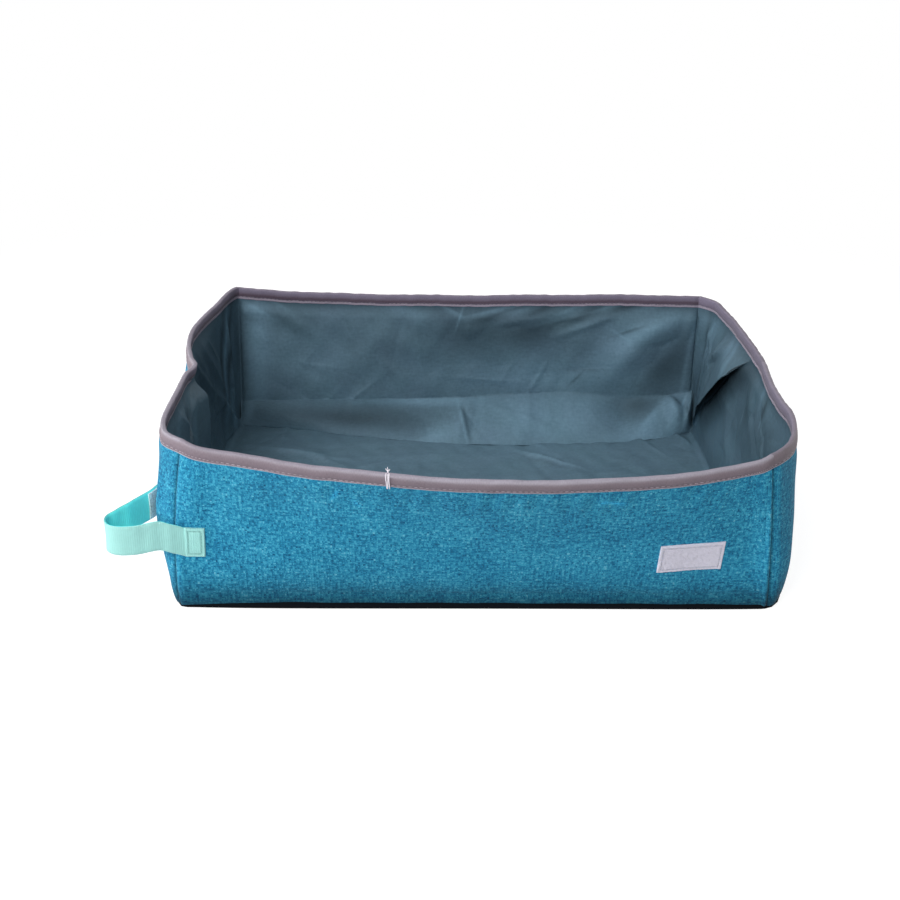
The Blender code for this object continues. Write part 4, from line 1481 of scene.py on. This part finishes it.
# Dark underside: rings from the middle of the bottom out, round the lower edge, up to
# its top, and back inside
# Its near-black edge below the walls is partly the base's own cloth and partly painted shadow along the
# foot
def makeUnderside():
    edgeRound = 0.0014
    edgeSet = 0.0006
    cornerSet = 0.0016
    behind = 0.0022
    inner = behind + 0.0002
    lap = 0.0010
    rings = []

    def ring(depth, level, corner=0.0, spread=1.0):
        points = outline(0.004, depth, corner)
        points[:, :2] *= spread
        points[:, 2] = level
        rings.append(points)

    for spread in (0.02, 0.35, 0.7, 0.93):
        ring(0.002, 0.0, 0.0, spread)
    for step in np.linspace(0, 1, 6):
        angle = step * math.pi / 2
        ring(edgeSet + edgeRound * (1 - math.sin(angle)), edgeRound * (1 - math.cos(angle)), cornerSet)
    ring(edgeSet, clothShape["lowest"] - lap, cornerSet)
    ring(behind, clothShape["lowest"] + 0.0002, 0.0002)
    ring(inner, baseEdgeTop)
    ring(inner + clothDepth, baseEdgeTop)
    ring(behind + 0.0003 + clothDepth, clothDepth)
    for spread in (0.9, 0.5, 0.02):
        ring(0.004, clothDepth, 0.0, spread)
    sections = np.stack(rings)
    piece = makeTube("underside_cloth", sections, looks["dark"])
    flatCoordinates = piece.data.uv_layers["flat"].data
    loopPoint = np.zeros(len(piece.data.loops), np.int32)
    piece.data.loops.foreach_get("vertex_index", loopPoint)
    places = sections.reshape(-1, 3)
    uv = np.stack([places[:, 0], places[:, 1] + places[:, 2]], axis=1)[loopPoint]
    flatCoordinates.foreach_set("uv", uv.astype(np.float32).ravel())
    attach(piece, "base")
    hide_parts("base_shell")


makeBase()
makeUnderside()
print("base made")


# ---- Rim binding

# The tape's section: the shares of its depth at which its points lie, how far its edge
# stands off, its crest, and its waves along the rim as amounts and sizes
tapeShape = {
    "shares": (1.0, 0.985, 0.95, 0.90, 0.85, 0.80, 0.76, 0.70, 0.60, 0.50, 0.40, 0.27, 0.14),
    "grooveWide": 0.09,
    "edgeOff": (0.0002, 0.0005),
    "crestOver": 0.0002,
    "crestHigh": 0.0011,
    "backOff": 0.0001,
    "backTop": 0.0006,
    "swell": (0.16, 0.020),
    "lift": (0.00035, 0.045),
    "fineLift": (0.00015, 0.011),
}

# Pale and dark bands down the tape, from the rim to its edge: shares of its depth, and amounts.
# The pale top is painted highlight, and the dark band painted shade in and below the stitch groove.
tapeProfiles = {
    "rimWorn": ((0.0, 0.10, 0.24), (0.45, 0.12, 0.0)),
    "edgeWorn": ((0.88, 0.96, 1.0), (0.0, 0.7, 0.6)),
    "dark": ((0.2, 0.55, 0.80, 0.90, 0.96), (0.0, 0.26, 0.36, 0.24, 0.0)),
    "innerWorn": ((0.0, 0.10, 0.70, 0.80, 0.94, 1.0), (0.25, 0.0, 0.0, 0.95, 0.9, 0.3)),
}


# Half of the tape's outside, from its lower edge to the top of the rim: the share of
# its depth at which each point lies, and how far it stands off the cloth
def tapeLeg():
    shares = np.array(tapeShape["shares"])
    fromStitches = shares - tape["stitchAt"] / tape["deep"]
    groove = np.exp(-((fromStitches / tapeShape["grooveWide"]) ** 2))
    puff = np.sin(np.pi * np.clip(1 - shares, 0, 0.8) / 0.95)
    off = tape["proud"] + tape["puff"] * puff - tape["groove"] * groove
    off[:2] = tapeShape["edgeOff"]
    return shares, off


# Thickness of a wall at a distance below its rim
def thicknessAt(wall, along, below):
    height = rimTop(wall, along) - below
    return gussetDepth + (wallDepth - gussetDepth) * foamMask(wall, along, height)


# Section of the binding at each station, as depth and height above the rim: outer leg
# up, round the top, inner leg down, then back along the cloth
def tapeSections(wall, along, swell):
    shares, off = tapeLeg()
    column = along[:, None]
    inner = shares * tape["deepInside"]
    topThickness = thicknessAt(wall, column, 0.0)
    legThickness = thicknessAt(wall, column, inner[None, :])
    off = off * swell[:, None]
    angles = np.linspace(0, np.pi, 11)[1:-1]
    reach = topThickness / 2 + tape["proud"] + tapeShape["crestOver"]
    backOff = tapeShape["backOff"]
    backTop = np.array([-tapeShape["backTop"]])
    parts = [
        (-off, -shares * tape["deep"]),
        (topThickness / 2 - reach * np.cos(angles), tapeShape["crestHigh"] * np.sin(angles) ** 0.8),
        ((legThickness + off)[:, ::-1], -inner[::-1]),
        (thicknessAt(wall, column, tape["deepInside"]) + backOff, np.array([-tape["deepInside"]])),
        (topThickness + backOff, backTop),
        (topThickness * 0 - backOff, backTop),
        (topThickness * 0 - backOff, np.array([-tape["deep"]])),
    ]
    depth = np.concatenate([part[0] for part in parts], axis=1)
    height = np.concatenate([part[1] for part in parts])[None, :] * np.ones_like(depth)
    return depth, height


# Pale and dark bands of the tape round its section: how pale it is, which part lies inside the tray,
# and how dark its lower half is. The pale crest is painted highlight, and the inner leg's bluer colours
# with their darker edge and the dark lower half are painted shade. The crest and the inner leg have an
# amount for each wall.
def tapeTones(crestHighlight, innerShade):
    shares, _ = tapeLeg()
    crestHighlight = crestHighlight[:, None]
    ones = np.ones_like(crestHighlight)
    profiles = {key: np.interp(shares, *table) for key, table in tapeProfiles.items()}
    outerEdge = crestHighlight * profiles["rimWorn"] + profiles["edgeWorn"]
    outerDark = ones * profiles["dark"]
    innerEdge = ones * profiles["innerWorn"]
    innerDark = innerShade * ones * np.exp(-(((shares - 0.54) / 0.22) ** 2))
    crest = crestHighlight * np.linspace(0.45, 1.0, 9)
    back = 0 * ones * np.ones(4)
    worn = np.concatenate([outerEdge, crest, innerEdge[:, ::-1], back], axis=1)
    groove = np.concatenate([outerDark, 0 * crest, innerDark[:, ::-1], back], axis=1)
    inside = np.concatenate([0 * outerEdge, ones * np.linspace(0, 1, 9), 1 + 0 * innerEdge, back], axis=1)
    return {"edge": worn, "groove": groove, "inside": inside}


# A run of the binding: its section at each station, set on the rim with a slight wave
def makeBinding(name, wall, first, last, stations):
    seed = tapeSeeds[wall]
    along = np.linspace(first, last, stations)
    place = placeAt(wall, along, rimTop(wall, along))

    def wave(kind, waveSeed):
        amount, size = tapeShape[kind]
        return amount * waves(place, place * 0, size, waveSeed, 5)

    depth, height = tapeSections(wall, along, 1 + wave("swell", seed + 2))
    lift = wave("lift", seed) + wave("fineLift", seed + 1)
    lift = lift * smooth(0, 0.02, toSeam(wall, along))
    if not walls[wall]["long"]:
        lift = lift * smooth(0, 0.06, np.abs(along))
    level = rimTop(wall, along)[:, None] + height + lift[:, None]
    sections = wallPoint(wall, along[:, None] * np.ones_like(depth), level, depth)
    if looksOut(wall):
        sections = sections[::-1]
    tones = tapeTones(np.interp(along, (-1, 0, 1), tape["worn"][wall]), tape["innerShade"][wall])
    piece = makeTube(name, sections, looks["tape"], tones)
    return piece


# A row of stitches along the binding, each a flat eight-sided lozenge
def makeStitchRow(name, wall, first, last, outside):
    half = halfLength if walls[wall]["long"] else halfWidth
    count = int((last - first) * half / tape["stitchPitch"])
    centres = first + (np.arange(count) + 0.5) * (last - first) / count
    halfShare = tape["stitchLength"] / 2 / half
    thick = thicknessAt(wall, centres, tape["stitchAt"])
    level = rimTop(wall, centres) - tape["stitchAt"]
    off = tape["proud"] + tape["puff"] * 0.6 - tape["groove"] + 0.0001
    pattern = np.array([
        (-1, 0, 0), (-0.6, -0.5, 0.2), (-0.6, 0.5, 0.2), (-0.6, 0, 1), (0.6, -0.5, 0.2), (0.6, 0.5, 0.2),
        (0.6, 0, 1), (1, 0, 0), (0, 0, -0.6)])
    along = centres[:, None] + pattern[None, :, 0] * halfShare
    height = level[:, None] + pattern[None, :, 1] * tape["stitchWidth"]
    stand = off + pattern[None, :, 2] * 0.00035
    depth = -stand if outside else thick[:, None] + stand
    points = wallPoint(wall, along, height, depth)
    one = [(0, 1, 3), (0, 3, 2), (1, 4, 6), (1, 6, 3), (3, 6, 5), (3, 5, 2), (4, 7, 6), (6, 7, 5),
           (0, 8, 1), (0, 2, 8), (1, 8, 4), (2, 5, 8), (4, 8, 7), (5, 7, 8)]
    piece = makeRepeats(name, points, one, looks["tapeThread"], looksOut(wall) != outside)
    return piece


for wall in ("front", "back"):
    piece = makeBinding(wall + "_rim_tape", wall, -1, 1, 241)
    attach(piece, wall + "_wall")
    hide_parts(wall + "_binding")
    for side in ("outside", "inside"):
        row = makeStitchRow(wall + "_rim_stitches_" + side, wall, -1, 1, side == "outside")
        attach(row, wall + "_wall")
for wall, corner, first, last in endHalves:
    name = wall + "_end_" + corner
    piece = makeBinding(name + "_rim_tape", wall, first, last, 141)
    rideEnd(piece, wall, corner)
    replaceEnd(wall, corner, "binding")
    for side in ("outside", "inside"):
        row = makeStitchRow(name + "_rim_stitches_" + side, wall, first, last, side == "outside")
        rideEnd(row, wall, corner)
print("binding made")


# ---- Strap
sewnLow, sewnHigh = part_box("strap_sewn_end")
loopLow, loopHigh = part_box("strap_loop")
hookLow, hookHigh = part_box("hook_tape")
sewnMiddle = (sewnLow + sewnHigh) / 2
strap = {
    "width": loopHigh.z - loopLow.z - 0.0004,
    "thick": 0.0013,
    "hookWidth": hookHigh.z - hookLow.z,
    "hookThick": 0.0011,
    "hookLength": 0.0575,
    "ripple": 0.00025,
    "stitchInset": 0.0022,
    "stitchShade": 0.30,
    "stitchPitch": 0.0021,
}

# Middle line of the strap: distance from the far left of its loop, from the front face
# at its root, and from its sewn height
strapRoute = [
    (0.0545, 0.0000, 0.0000), (0.0455, -0.0010, 0.0026), (0.0355, -0.0022, 0.0053),
    (0.0245, -0.0034, 0.0033), (0.0140, -0.0036, 0.0022), (0.0060, -0.0016, 0.0020),
    (0.0014, 0.0032, 0.0026), (0.0018, 0.0098, 0.0031), (0.0062, 0.0160, 0.0042),
    (0.0120, 0.0228, 0.0057), (0.0177, 0.0296, 0.0066), (0.0227, 0.0370, 0.0074),
    (0.0267, 0.0457, 0.0080), (0.0292, 0.0577, 0.0080), (0.0299, 0.0757, 0.0080),
    (0.0302, 0.0910, 0.0080),
]


# A smooth curve through points: each stretch is a cubic with the mean slope at its ends
def curveThrough(points, perStretch):
    points = np.array(points, float)
    before = np.concatenate([2 * points[:1] - points[1:2], points[:-1]])
    after = np.concatenate([points[1:], 2 * points[-1:] - points[-2:-1]])
    slope = (after - before) / 2
    t = np.linspace(0, 1, perStretch, endpoint=False)[None, :, None]
    a, b, m, n = points[:-1, None], points[1:, None], slope[:-1, None], slope[1:, None]
    curve = cubic(t, a, m, b, n)
    return np.concatenate([curve.reshape(-1, points.shape[1]), points[-1:]])


def onFront(x, height, off, relief=True):
    along = alongAt("front", x, height)
    sunk = clothRelief("front", along, height, clothSeeds["front"]) if relief else 0.0
    return wallPoint("front", along, height, sunk - off)


rootPoint = onFront(np.array([sewnLow.x]), np.array([sewnMiddle.z]), 0.0003 + strap["thick"] / 2)[0]


def strapLine():
    leftmost = loopLow.x + strap["thick"] / 2 + 0.0006
    route = [(leftmost + away, rootPoint[1] + back, sewnMiddle.z + lift) for away, back, lift in strapRoute]
    route[0] = tuple(rootPoint)
    line = curveThrough(route, 10)
    step = np.linalg.norm(np.diff(line, axis=0), axis=1)
    run = np.concatenate([[0], np.cumsum(step)])
    even = np.linspace(0, run[-1], 150)
    line = np.stack([np.interp(even, run, line[:, axis]) for axis in range(3)], axis=1)
    return line, even


# A band on edge along a line, between two distances to the outside of the line. Its
# edges are rounded over their thickness.
def makeBand(name, line, run, near, far, width, material, seed):
    heading = np.gradient(line[:, :2], axis=0)
    heading /= np.linalg.norm(heading, axis=1, keepdims=True)
    outward = np.stack([-heading[:, 1], heading[:, 0], np.zeros(len(line))], axis=1)
    half = width / 2
    middle = (near + far) / 2
    rise = np.linspace(-1, 1, 9) * (half - 0.0003)
    ups = np.concatenate([rise, [half], -rise, [-half]])
    offs = np.concatenate([np.full(9, far), [middle], np.full(9, near), [middle]])
    wave = strap["ripple"] * waves(run, run * 0, 0.014, seed, 6) * smooth(0.002, 0.012, run)
    cup = 0.0004 * (1 - (ups / half) ** 2)
    aside = offs[None, :] + wave[:, None] - cup[None, :]
    sections = line[:, None, :] + outward[:, None, :] * aside[..., None]
    sections[..., 2] += ups[None, :]
    return makeTube(name, sections, material)


strapPath, strapRun = strapLine()


# The strap's pieces hang on the strap body, each with a mesh of its own
def rideStrap(piece):
    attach(piece, "strap")
    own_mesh(piece)


def makeStrap():
    half = strap["thick"] / 2
    outside = makeBand("strap_webbing", strapPath, strapRun, 0.0, half, strap["width"],
                       looks["webbing"], 81)
    # The inner face: painted light that stands for light shining through the webbing
    inside = makeBand("strap_inner_face", strapPath, strapRun, -half, 0.0, strap["width"] - 0.0002,
                      looks["webbingInside"], 81)
    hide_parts("strap_loop")
    for piece in (outside, inside):
        rideStrap(piece)
    last = strapRun > strapRun[-1] - strap["hookLength"]
    hook = makeBand("strap_hook_tape", strapPath[last], strapRun[last], -half - strap["hookThick"],
                    -half - 0.0001, strap["hookWidth"], looks["hook"], 81)
    rideStrap(hook)
    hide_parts("hook_tape")


makeStrap()


# Pieces sewn on the front: their gap from the cloth, the round and thickness of their
# edges, the groove of their seam, their ripples' sizes, and the size of a stitch
panelShape = {
    "gap": 0.0003,
    "edgeRound": 0.0006,
    "edgeThick": 0.35,
    "seamWide": 0.00045,
    "seamDeep": 0.0003,
    "ripples": (0.006, 0.0018),
    "tone": 0.06,
    "stitchShare": 0.36,
    "stitchWide": 0.00032,
    "stitchHigh": 0.0003,
}


# A flat piece sewn on the front: a grid turned about its middle, puffed between its
# edges, with its edges rounded down to the cloth
def makePanel(name, middle, size, turn, off, thick, material, puff, seed, columns, rows, inset, skew=0.0):
    angle = math.radians(turn)
    u = stepsAcross(-0.5, 0.5, columns, rows) * size[0]
    v = stepsAcross(-0.5, 0.5, rows, columns).T * size[1]
    x = middle[0] + u * math.cos(angle) - v * (math.sin(angle) - skew)
    z = middle[1] + u * math.sin(angle) + v * math.cos(angle)
    edge = np.minimum(size[0] / 2 - np.abs(u), size[1] / 2 - np.abs(v))
    rounded = np.sqrt(1 - (1 - np.clip(edge / panelShape["edgeRound"], 0, 1)) ** 2)
    seam = np.exp(-(((edge - inset) / panelShape["seamWide"]) ** 2))
    coarse, fine = panelShape["ripples"]
    rough = puff * waves(u, v, coarse, seed) + puff * waves(u, v, fine, seed + 1)
    least = panelShape["edgeThick"]
    top = off + thick * (least + (1 - least) * rounded) + rough * rounded
    top = top - panelShape["seamDeep"] * seam
    outer = onFront(x, z, top)
    inner = onFront(x, z, np.full_like(x, off * 0.3))
    # Painted shade along the sunk stitch line, over a slight even lightening
    tone = panelShape["tone"] - strap["stitchShade"] * seam
    return makeSheet(name, outer, inner, material, {"tone": tone})


# Stitches round a rectangle on the front, each a small lozenge
def makePanelStitches(name, middle, size, turn, off, inset, pitch, material, skew=0.0):
    angle = math.radians(turn)
    halfU = size[0] / 2 - inset
    halfV = size[1] / 2 - inset
    spots = []
    for side in ("top", "bottom", "left", "right"):
        level = side in ("top", "bottom")
        reach = halfU if level else halfV
        steps = (np.arange(int(2 * reach / pitch)) + 0.5) / int(2 * reach / pitch) * 2 * reach - reach
        other = {"top": halfV, "bottom": -halfV, "left": -halfU, "right": halfU}[side]
        for step in steps:
            spots.append((step, other, 0.0) if level else (other, step, math.pi / 2))
    spots = np.array(spots)
    long, wide = pitch * panelShape["stitchShare"], panelShape["stitchWide"]
    pattern = np.array([(-1, 0, 0), (0, -1, 0), (1, 0, 0), (0, 1, 0), (0, 0, 1), (0, 0, -1)])
    a = pattern[None, :, 0] * long
    b = pattern[None, :, 1] * wide
    u = spots[:, None, 0] + a * np.cos(spots[:, None, 2]) - b * np.sin(spots[:, None, 2])
    v = spots[:, None, 1] + a * np.sin(spots[:, None, 2]) + b * np.cos(spots[:, None, 2])
    x = middle[0] + u * math.cos(angle) - v * (math.sin(angle) - skew)
    z = middle[1] + u * math.sin(angle) + v * math.cos(angle)
    points = onFront(x, z, off + pattern[None, :, 2] * panelShape["stitchHigh"])
    one = [(0, 1, 4), (1, 2, 4), (2, 3, 4), (3, 0, 4), (1, 0, 5), (2, 1, 5), (3, 2, 5), (0, 3, 5)]
    piece = makeRepeats(name, points, one, material)
    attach(piece, "front_wall")
    return piece


sewnSize = (sewnHigh.x - sewnLow.x + 0.0006, strap["width"] + 0.0004)
sewnTurn = -1.5
sewn = makePanel("strap_sewn_webbing", (sewnMiddle.x, sewnMiddle.z), sewnSize, sewnTurn,
                 panelShape["gap"], strap["thick"], looks["webbing"], 0.00006, 91, 71, 81,
                 strap["stitchInset"])
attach(sewn, "front_wall")
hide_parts("strap_sewn_end")
sewnThread = makePanelStitches("strap_box_stitch", (sewnMiddle.x, sewnMiddle.z), sewnSize, sewnTurn,
                               panelShape["gap"] + strap["thick"], strap["stitchInset"],
                               strap["stitchPitch"], looks["mintThread"])
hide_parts("strap_stitching")

# ---- Patch
patchLow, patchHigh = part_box("loop_patch")
patch = {"length": 0.042, "height": 0.0222, "turn": 3.4, "skew": 0.059, "thick": 0.0011, "inset": 0.0022,
         "pitch": 0.0026, "shift": (-0.0007, 0.0009)}
patchMiddle = ((patchLow.x + patchHigh.x) / 2 + patch["shift"][0],
               (patchLow.z + patchHigh.z) / 2 + patch["shift"][1])
patchSize = (patch["length"], patch["height"])
pad = makePanel("closing_patch", patchMiddle, patchSize, patch["turn"], panelShape["gap"],
                patch["thick"], looks["pile"], 0.00009, 95, 151, 81, patch["inset"], patch["skew"])
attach(pad, "front_wall")
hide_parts("loop_patch")
patchThread = makePanelStitches("patch_border_stitches", patchMiddle, patchSize, patch["turn"],
                                0.0001 + patch["thick"], patch["inset"], patch["pitch"],
                                looks["patchThread"], patch["skew"])
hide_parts("patch_stitching")

# ---- Whipped thread over the join of the binding
joinLow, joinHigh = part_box("binding_join_thread")
joinX = (joinLow.x + joinHigh.x) / 2

# Wraps: place along X and lean; tufts of the cut ends: how far each reaches along, back, up
join = {
    "wraps": [(-0.0008, 0.0008), (0.0001, -0.0003), (0.0009, 0.0004)],
    "tufts": [(-0.0004, 0.0020, 0.0044), (0.0008, 0.0010, 0.0034),
              (-0.0016, 0.0026, 0.0030), (0.0014, 0.0024, 0.0026)],
    "radius": 0.00035,
    "tuftRadius": 0.00022,
}


# A round cord through points, its section carried square to its line
def makeCord(name, points, radius, material, around=7, perStretch=5):
    line = curveThrough(points, perStretch)
    heading = np.gradient(line, axis=0)
    heading /= np.linalg.norm(heading, axis=1, keepdims=True)
    side = np.cross(heading, np.array([0.98, 0.05, 0.17]))
    side /= np.linalg.norm(side, axis=1, keepdims=True)
    above = np.cross(side, heading)
    angles = np.linspace(0, 2 * np.pi, around, endpoint=False)
    taper = radius * np.clip(np.minimum(np.arange(len(line)), np.arange(len(line))[::-1]) / 2 + 0.35, 0, 1)
    sections = line[:, None] + taper[:, None, None] * (
        side[:, None] * np.cos(angles)[None, :, None] - above[:, None] * np.sin(angles)[None, :, None])
    return makeTube(name, sections, material)


# Each wrap climbs the outer leg, goes over the rim and ends a little way down inside
def makeJoinThread():
    top = float(rimTop("front", alongAt("front", np.array([joinX]), np.array([rimHeight - 0.005])))[0])
    wraps = []
    for number, (shift, lean) in enumerate(join["wraps"]):
        below = np.array([tape["deep"] + 0.0006, 0.0070, 0.0050, 0.0030, 0.0012])
        x = joinX + shift + lean * (below / tape["deep"] - 0.5)
        leg = onFront(x, top - below, tape["proud"] + tape["puff"] + 0.0002, False)
        crest = onFront(np.array([x[-1]]), np.array([top - 0.0005]), 0.0008, False)
        crest[0, 2] = top + 0.0013
        over = crest + np.array([[0.0002, 0.0016, 0.0001]])
        down = crest + np.array([[0.0001, 0.0030, -0.0016]])
        wraps.append(makeCord("join_thread_" + str(number + 1), np.concatenate([leg, crest, over, down]),
                              join["radius"], looks["thread"]))
    base = onFront(np.array([joinX - 0.0002]), np.array([top - 0.0005]), -0.0008, False)[0]
    base[2] = top + 0.0006
    for number, (across, back, up) in enumerate(join["tufts"]):
        middle = base + np.array([across * 0.2, back * 0.4, up * 0.6])
        end = base + np.array([across, back, up])
        wraps.append(makeCord("join_tuft_" + str(number + 1), [base, middle, end],
                              join["tuftRadius"], looks["thread"], 6))
    for piece in wraps:
        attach(piece, "front_wall")
    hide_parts("binding_join_thread")


makeJoinThread()
print("strap, patch and join thread made")


# ---- Floor, lights and background
stage = {
    "reach": 4.0,
    "glow": 0.88,
    "shadowed": 0.36,
    "fadeFrom": 0.45,
    "fadeTo": 0.95,
    "paper": 0.74,
    "sunk": 0.0003,
}


# Lamps: place, what it looks at, size, power
lighting = {
    "world": 0.08,
    "lamps": {
        "softbox_left": ((-1.7, -0.4, 0.12), (0, 0, 0.05), 0.45, 24.0),
        "softbox_low": ((-0.4, -1.9, 0.11), (0, 0, 0.05), 0.6, 7.0),
        "softbox_middle": ((0.1, -1.8, 1.30), (0, 0, 0.03), 0.8, 9.5),
        "softbox_high": ((-0.9, -1.5, 1.30), (0, 0, 0.03), 0.8, 21.0),
        "softbox_behind": ((1.6, 1.2, 0.14), (0, 0, 0.05), 0.6, 13.0),
        "softbox_back": ((-0.7, 0.6, 1.90), (0, 0, 0), 1.4, 16.0),
    },
}


# 1 where the camera, or a reflection in gloss or through glass, looks at the stage
def seenDirectly(nodes):
    path = nodes.add("ShaderNodeLightPath").socket.node.outputs
    rays = [Wire(nodes, path[key]) for key in ("Is Camera Ray", "Is Glossy Ray", "Is Transmission Ray")]
    return nodes.add("ShaderNodeClamp", None, {0: rays[0] + rays[1] + rays[2]})


# The floor takes light like pale paper. The camera sees it as a glow plus a part of
# the light that falls on it, so it is white but for the object's shadow.
def makeStage():
    finish = Finish("studio_floor", Roughness=0.9, Specular_IOR_Level=0.0)
    finish.shader.inputs["Base Color"].default_value = colour(*[stage["paper"]] * 3)
    place = finish.add("ShaderNodeTexCoord", None, None, 3)
    away = finish.add("ShaderNodeVectorMath", {"operation": "LENGTH"}, {0: place}, 1)
    fade = finish.add("ShaderNodeMapRange", {"interpolation_type": "SMOOTHSTEP"},
                      {0: away, 1: stage["fadeFrom"], 2: stage["fadeTo"], 3: 0.0, 4: 1.0})
    white = colour(1.0, 1.0, 1.0)
    grey = colour(*[stage["shadowed"]] * 3)
    near = finish.add("ShaderNodeAddShader", None, {
        0: finish.add("ShaderNodeEmission", None, {"Color": white, "Strength": stage["glow"]}),
        1: finish.add("ShaderNodeBsdfDiffuse", None, {"Color": grey})})
    far = finish.add("ShaderNodeEmission", None, {"Color": white, "Strength": 1.0})
    shown = finish.add("ShaderNodeMixShader", None, {0: fade, 1: near, 2: far})
    mixed = finish.add("ShaderNodeMixShader", None, {0: seenDirectly(finish),
                                                     1: Wire(finish, finish.shader.outputs[0]), 2: shown})
    finish.tree.links.new(mixed.socket, finish.tree.nodes["Material Output"].inputs["Surface"])
    mesh = bpy.data.meshes.new("floor")
    reach = stage["reach"]
    mesh.from_pydata([(-reach, -reach, 0), (reach, -reach, 0), (reach, reach, 0), (-reach, reach, 0)], [],
                     [(0, 1, 2, 3)])
    mesh.materials.append(finish.material)
    floor = bpy.data.objects.new("floor", mesh)
    floor.location.z = -stage["sunk"]
    bpy.context.scene.collection.objects.link(floor)
    world = bpy.data.worlds.new("studio")
    bpy.context.scene.world = world
    world.use_nodes = True
    sky = Nodes(world.node_tree)
    level = lighting["world"] + (1 - lighting["world"]) * seenDirectly(sky)
    glow = sky.add("ShaderNodeBackground", None, {"Color": colour(1.0, 1.0, 1.0), "Strength": level})
    sky.tree.links.new(glow.socket, sky.tree.nodes["World Output"].inputs["Surface"])


def makeLamps():
    for name, (place, target, size, power) in lighting["lamps"].items():
        data = bpy.data.lights.new(name, "AREA")
        data.size = size
        data.energy = power
        lamp = bpy.data.objects.new(name, data)
        lamp.location = place
        lamp.rotation_euler = (Vector(target) - Vector(place)).to_track_quat("-Z", "Y").to_euler()
        bpy.context.scene.collection.objects.link(lamp)


makeStage()
makeLamps()
bpy.context.scene.view_settings.view_transform = "Standard"
print("stage made")
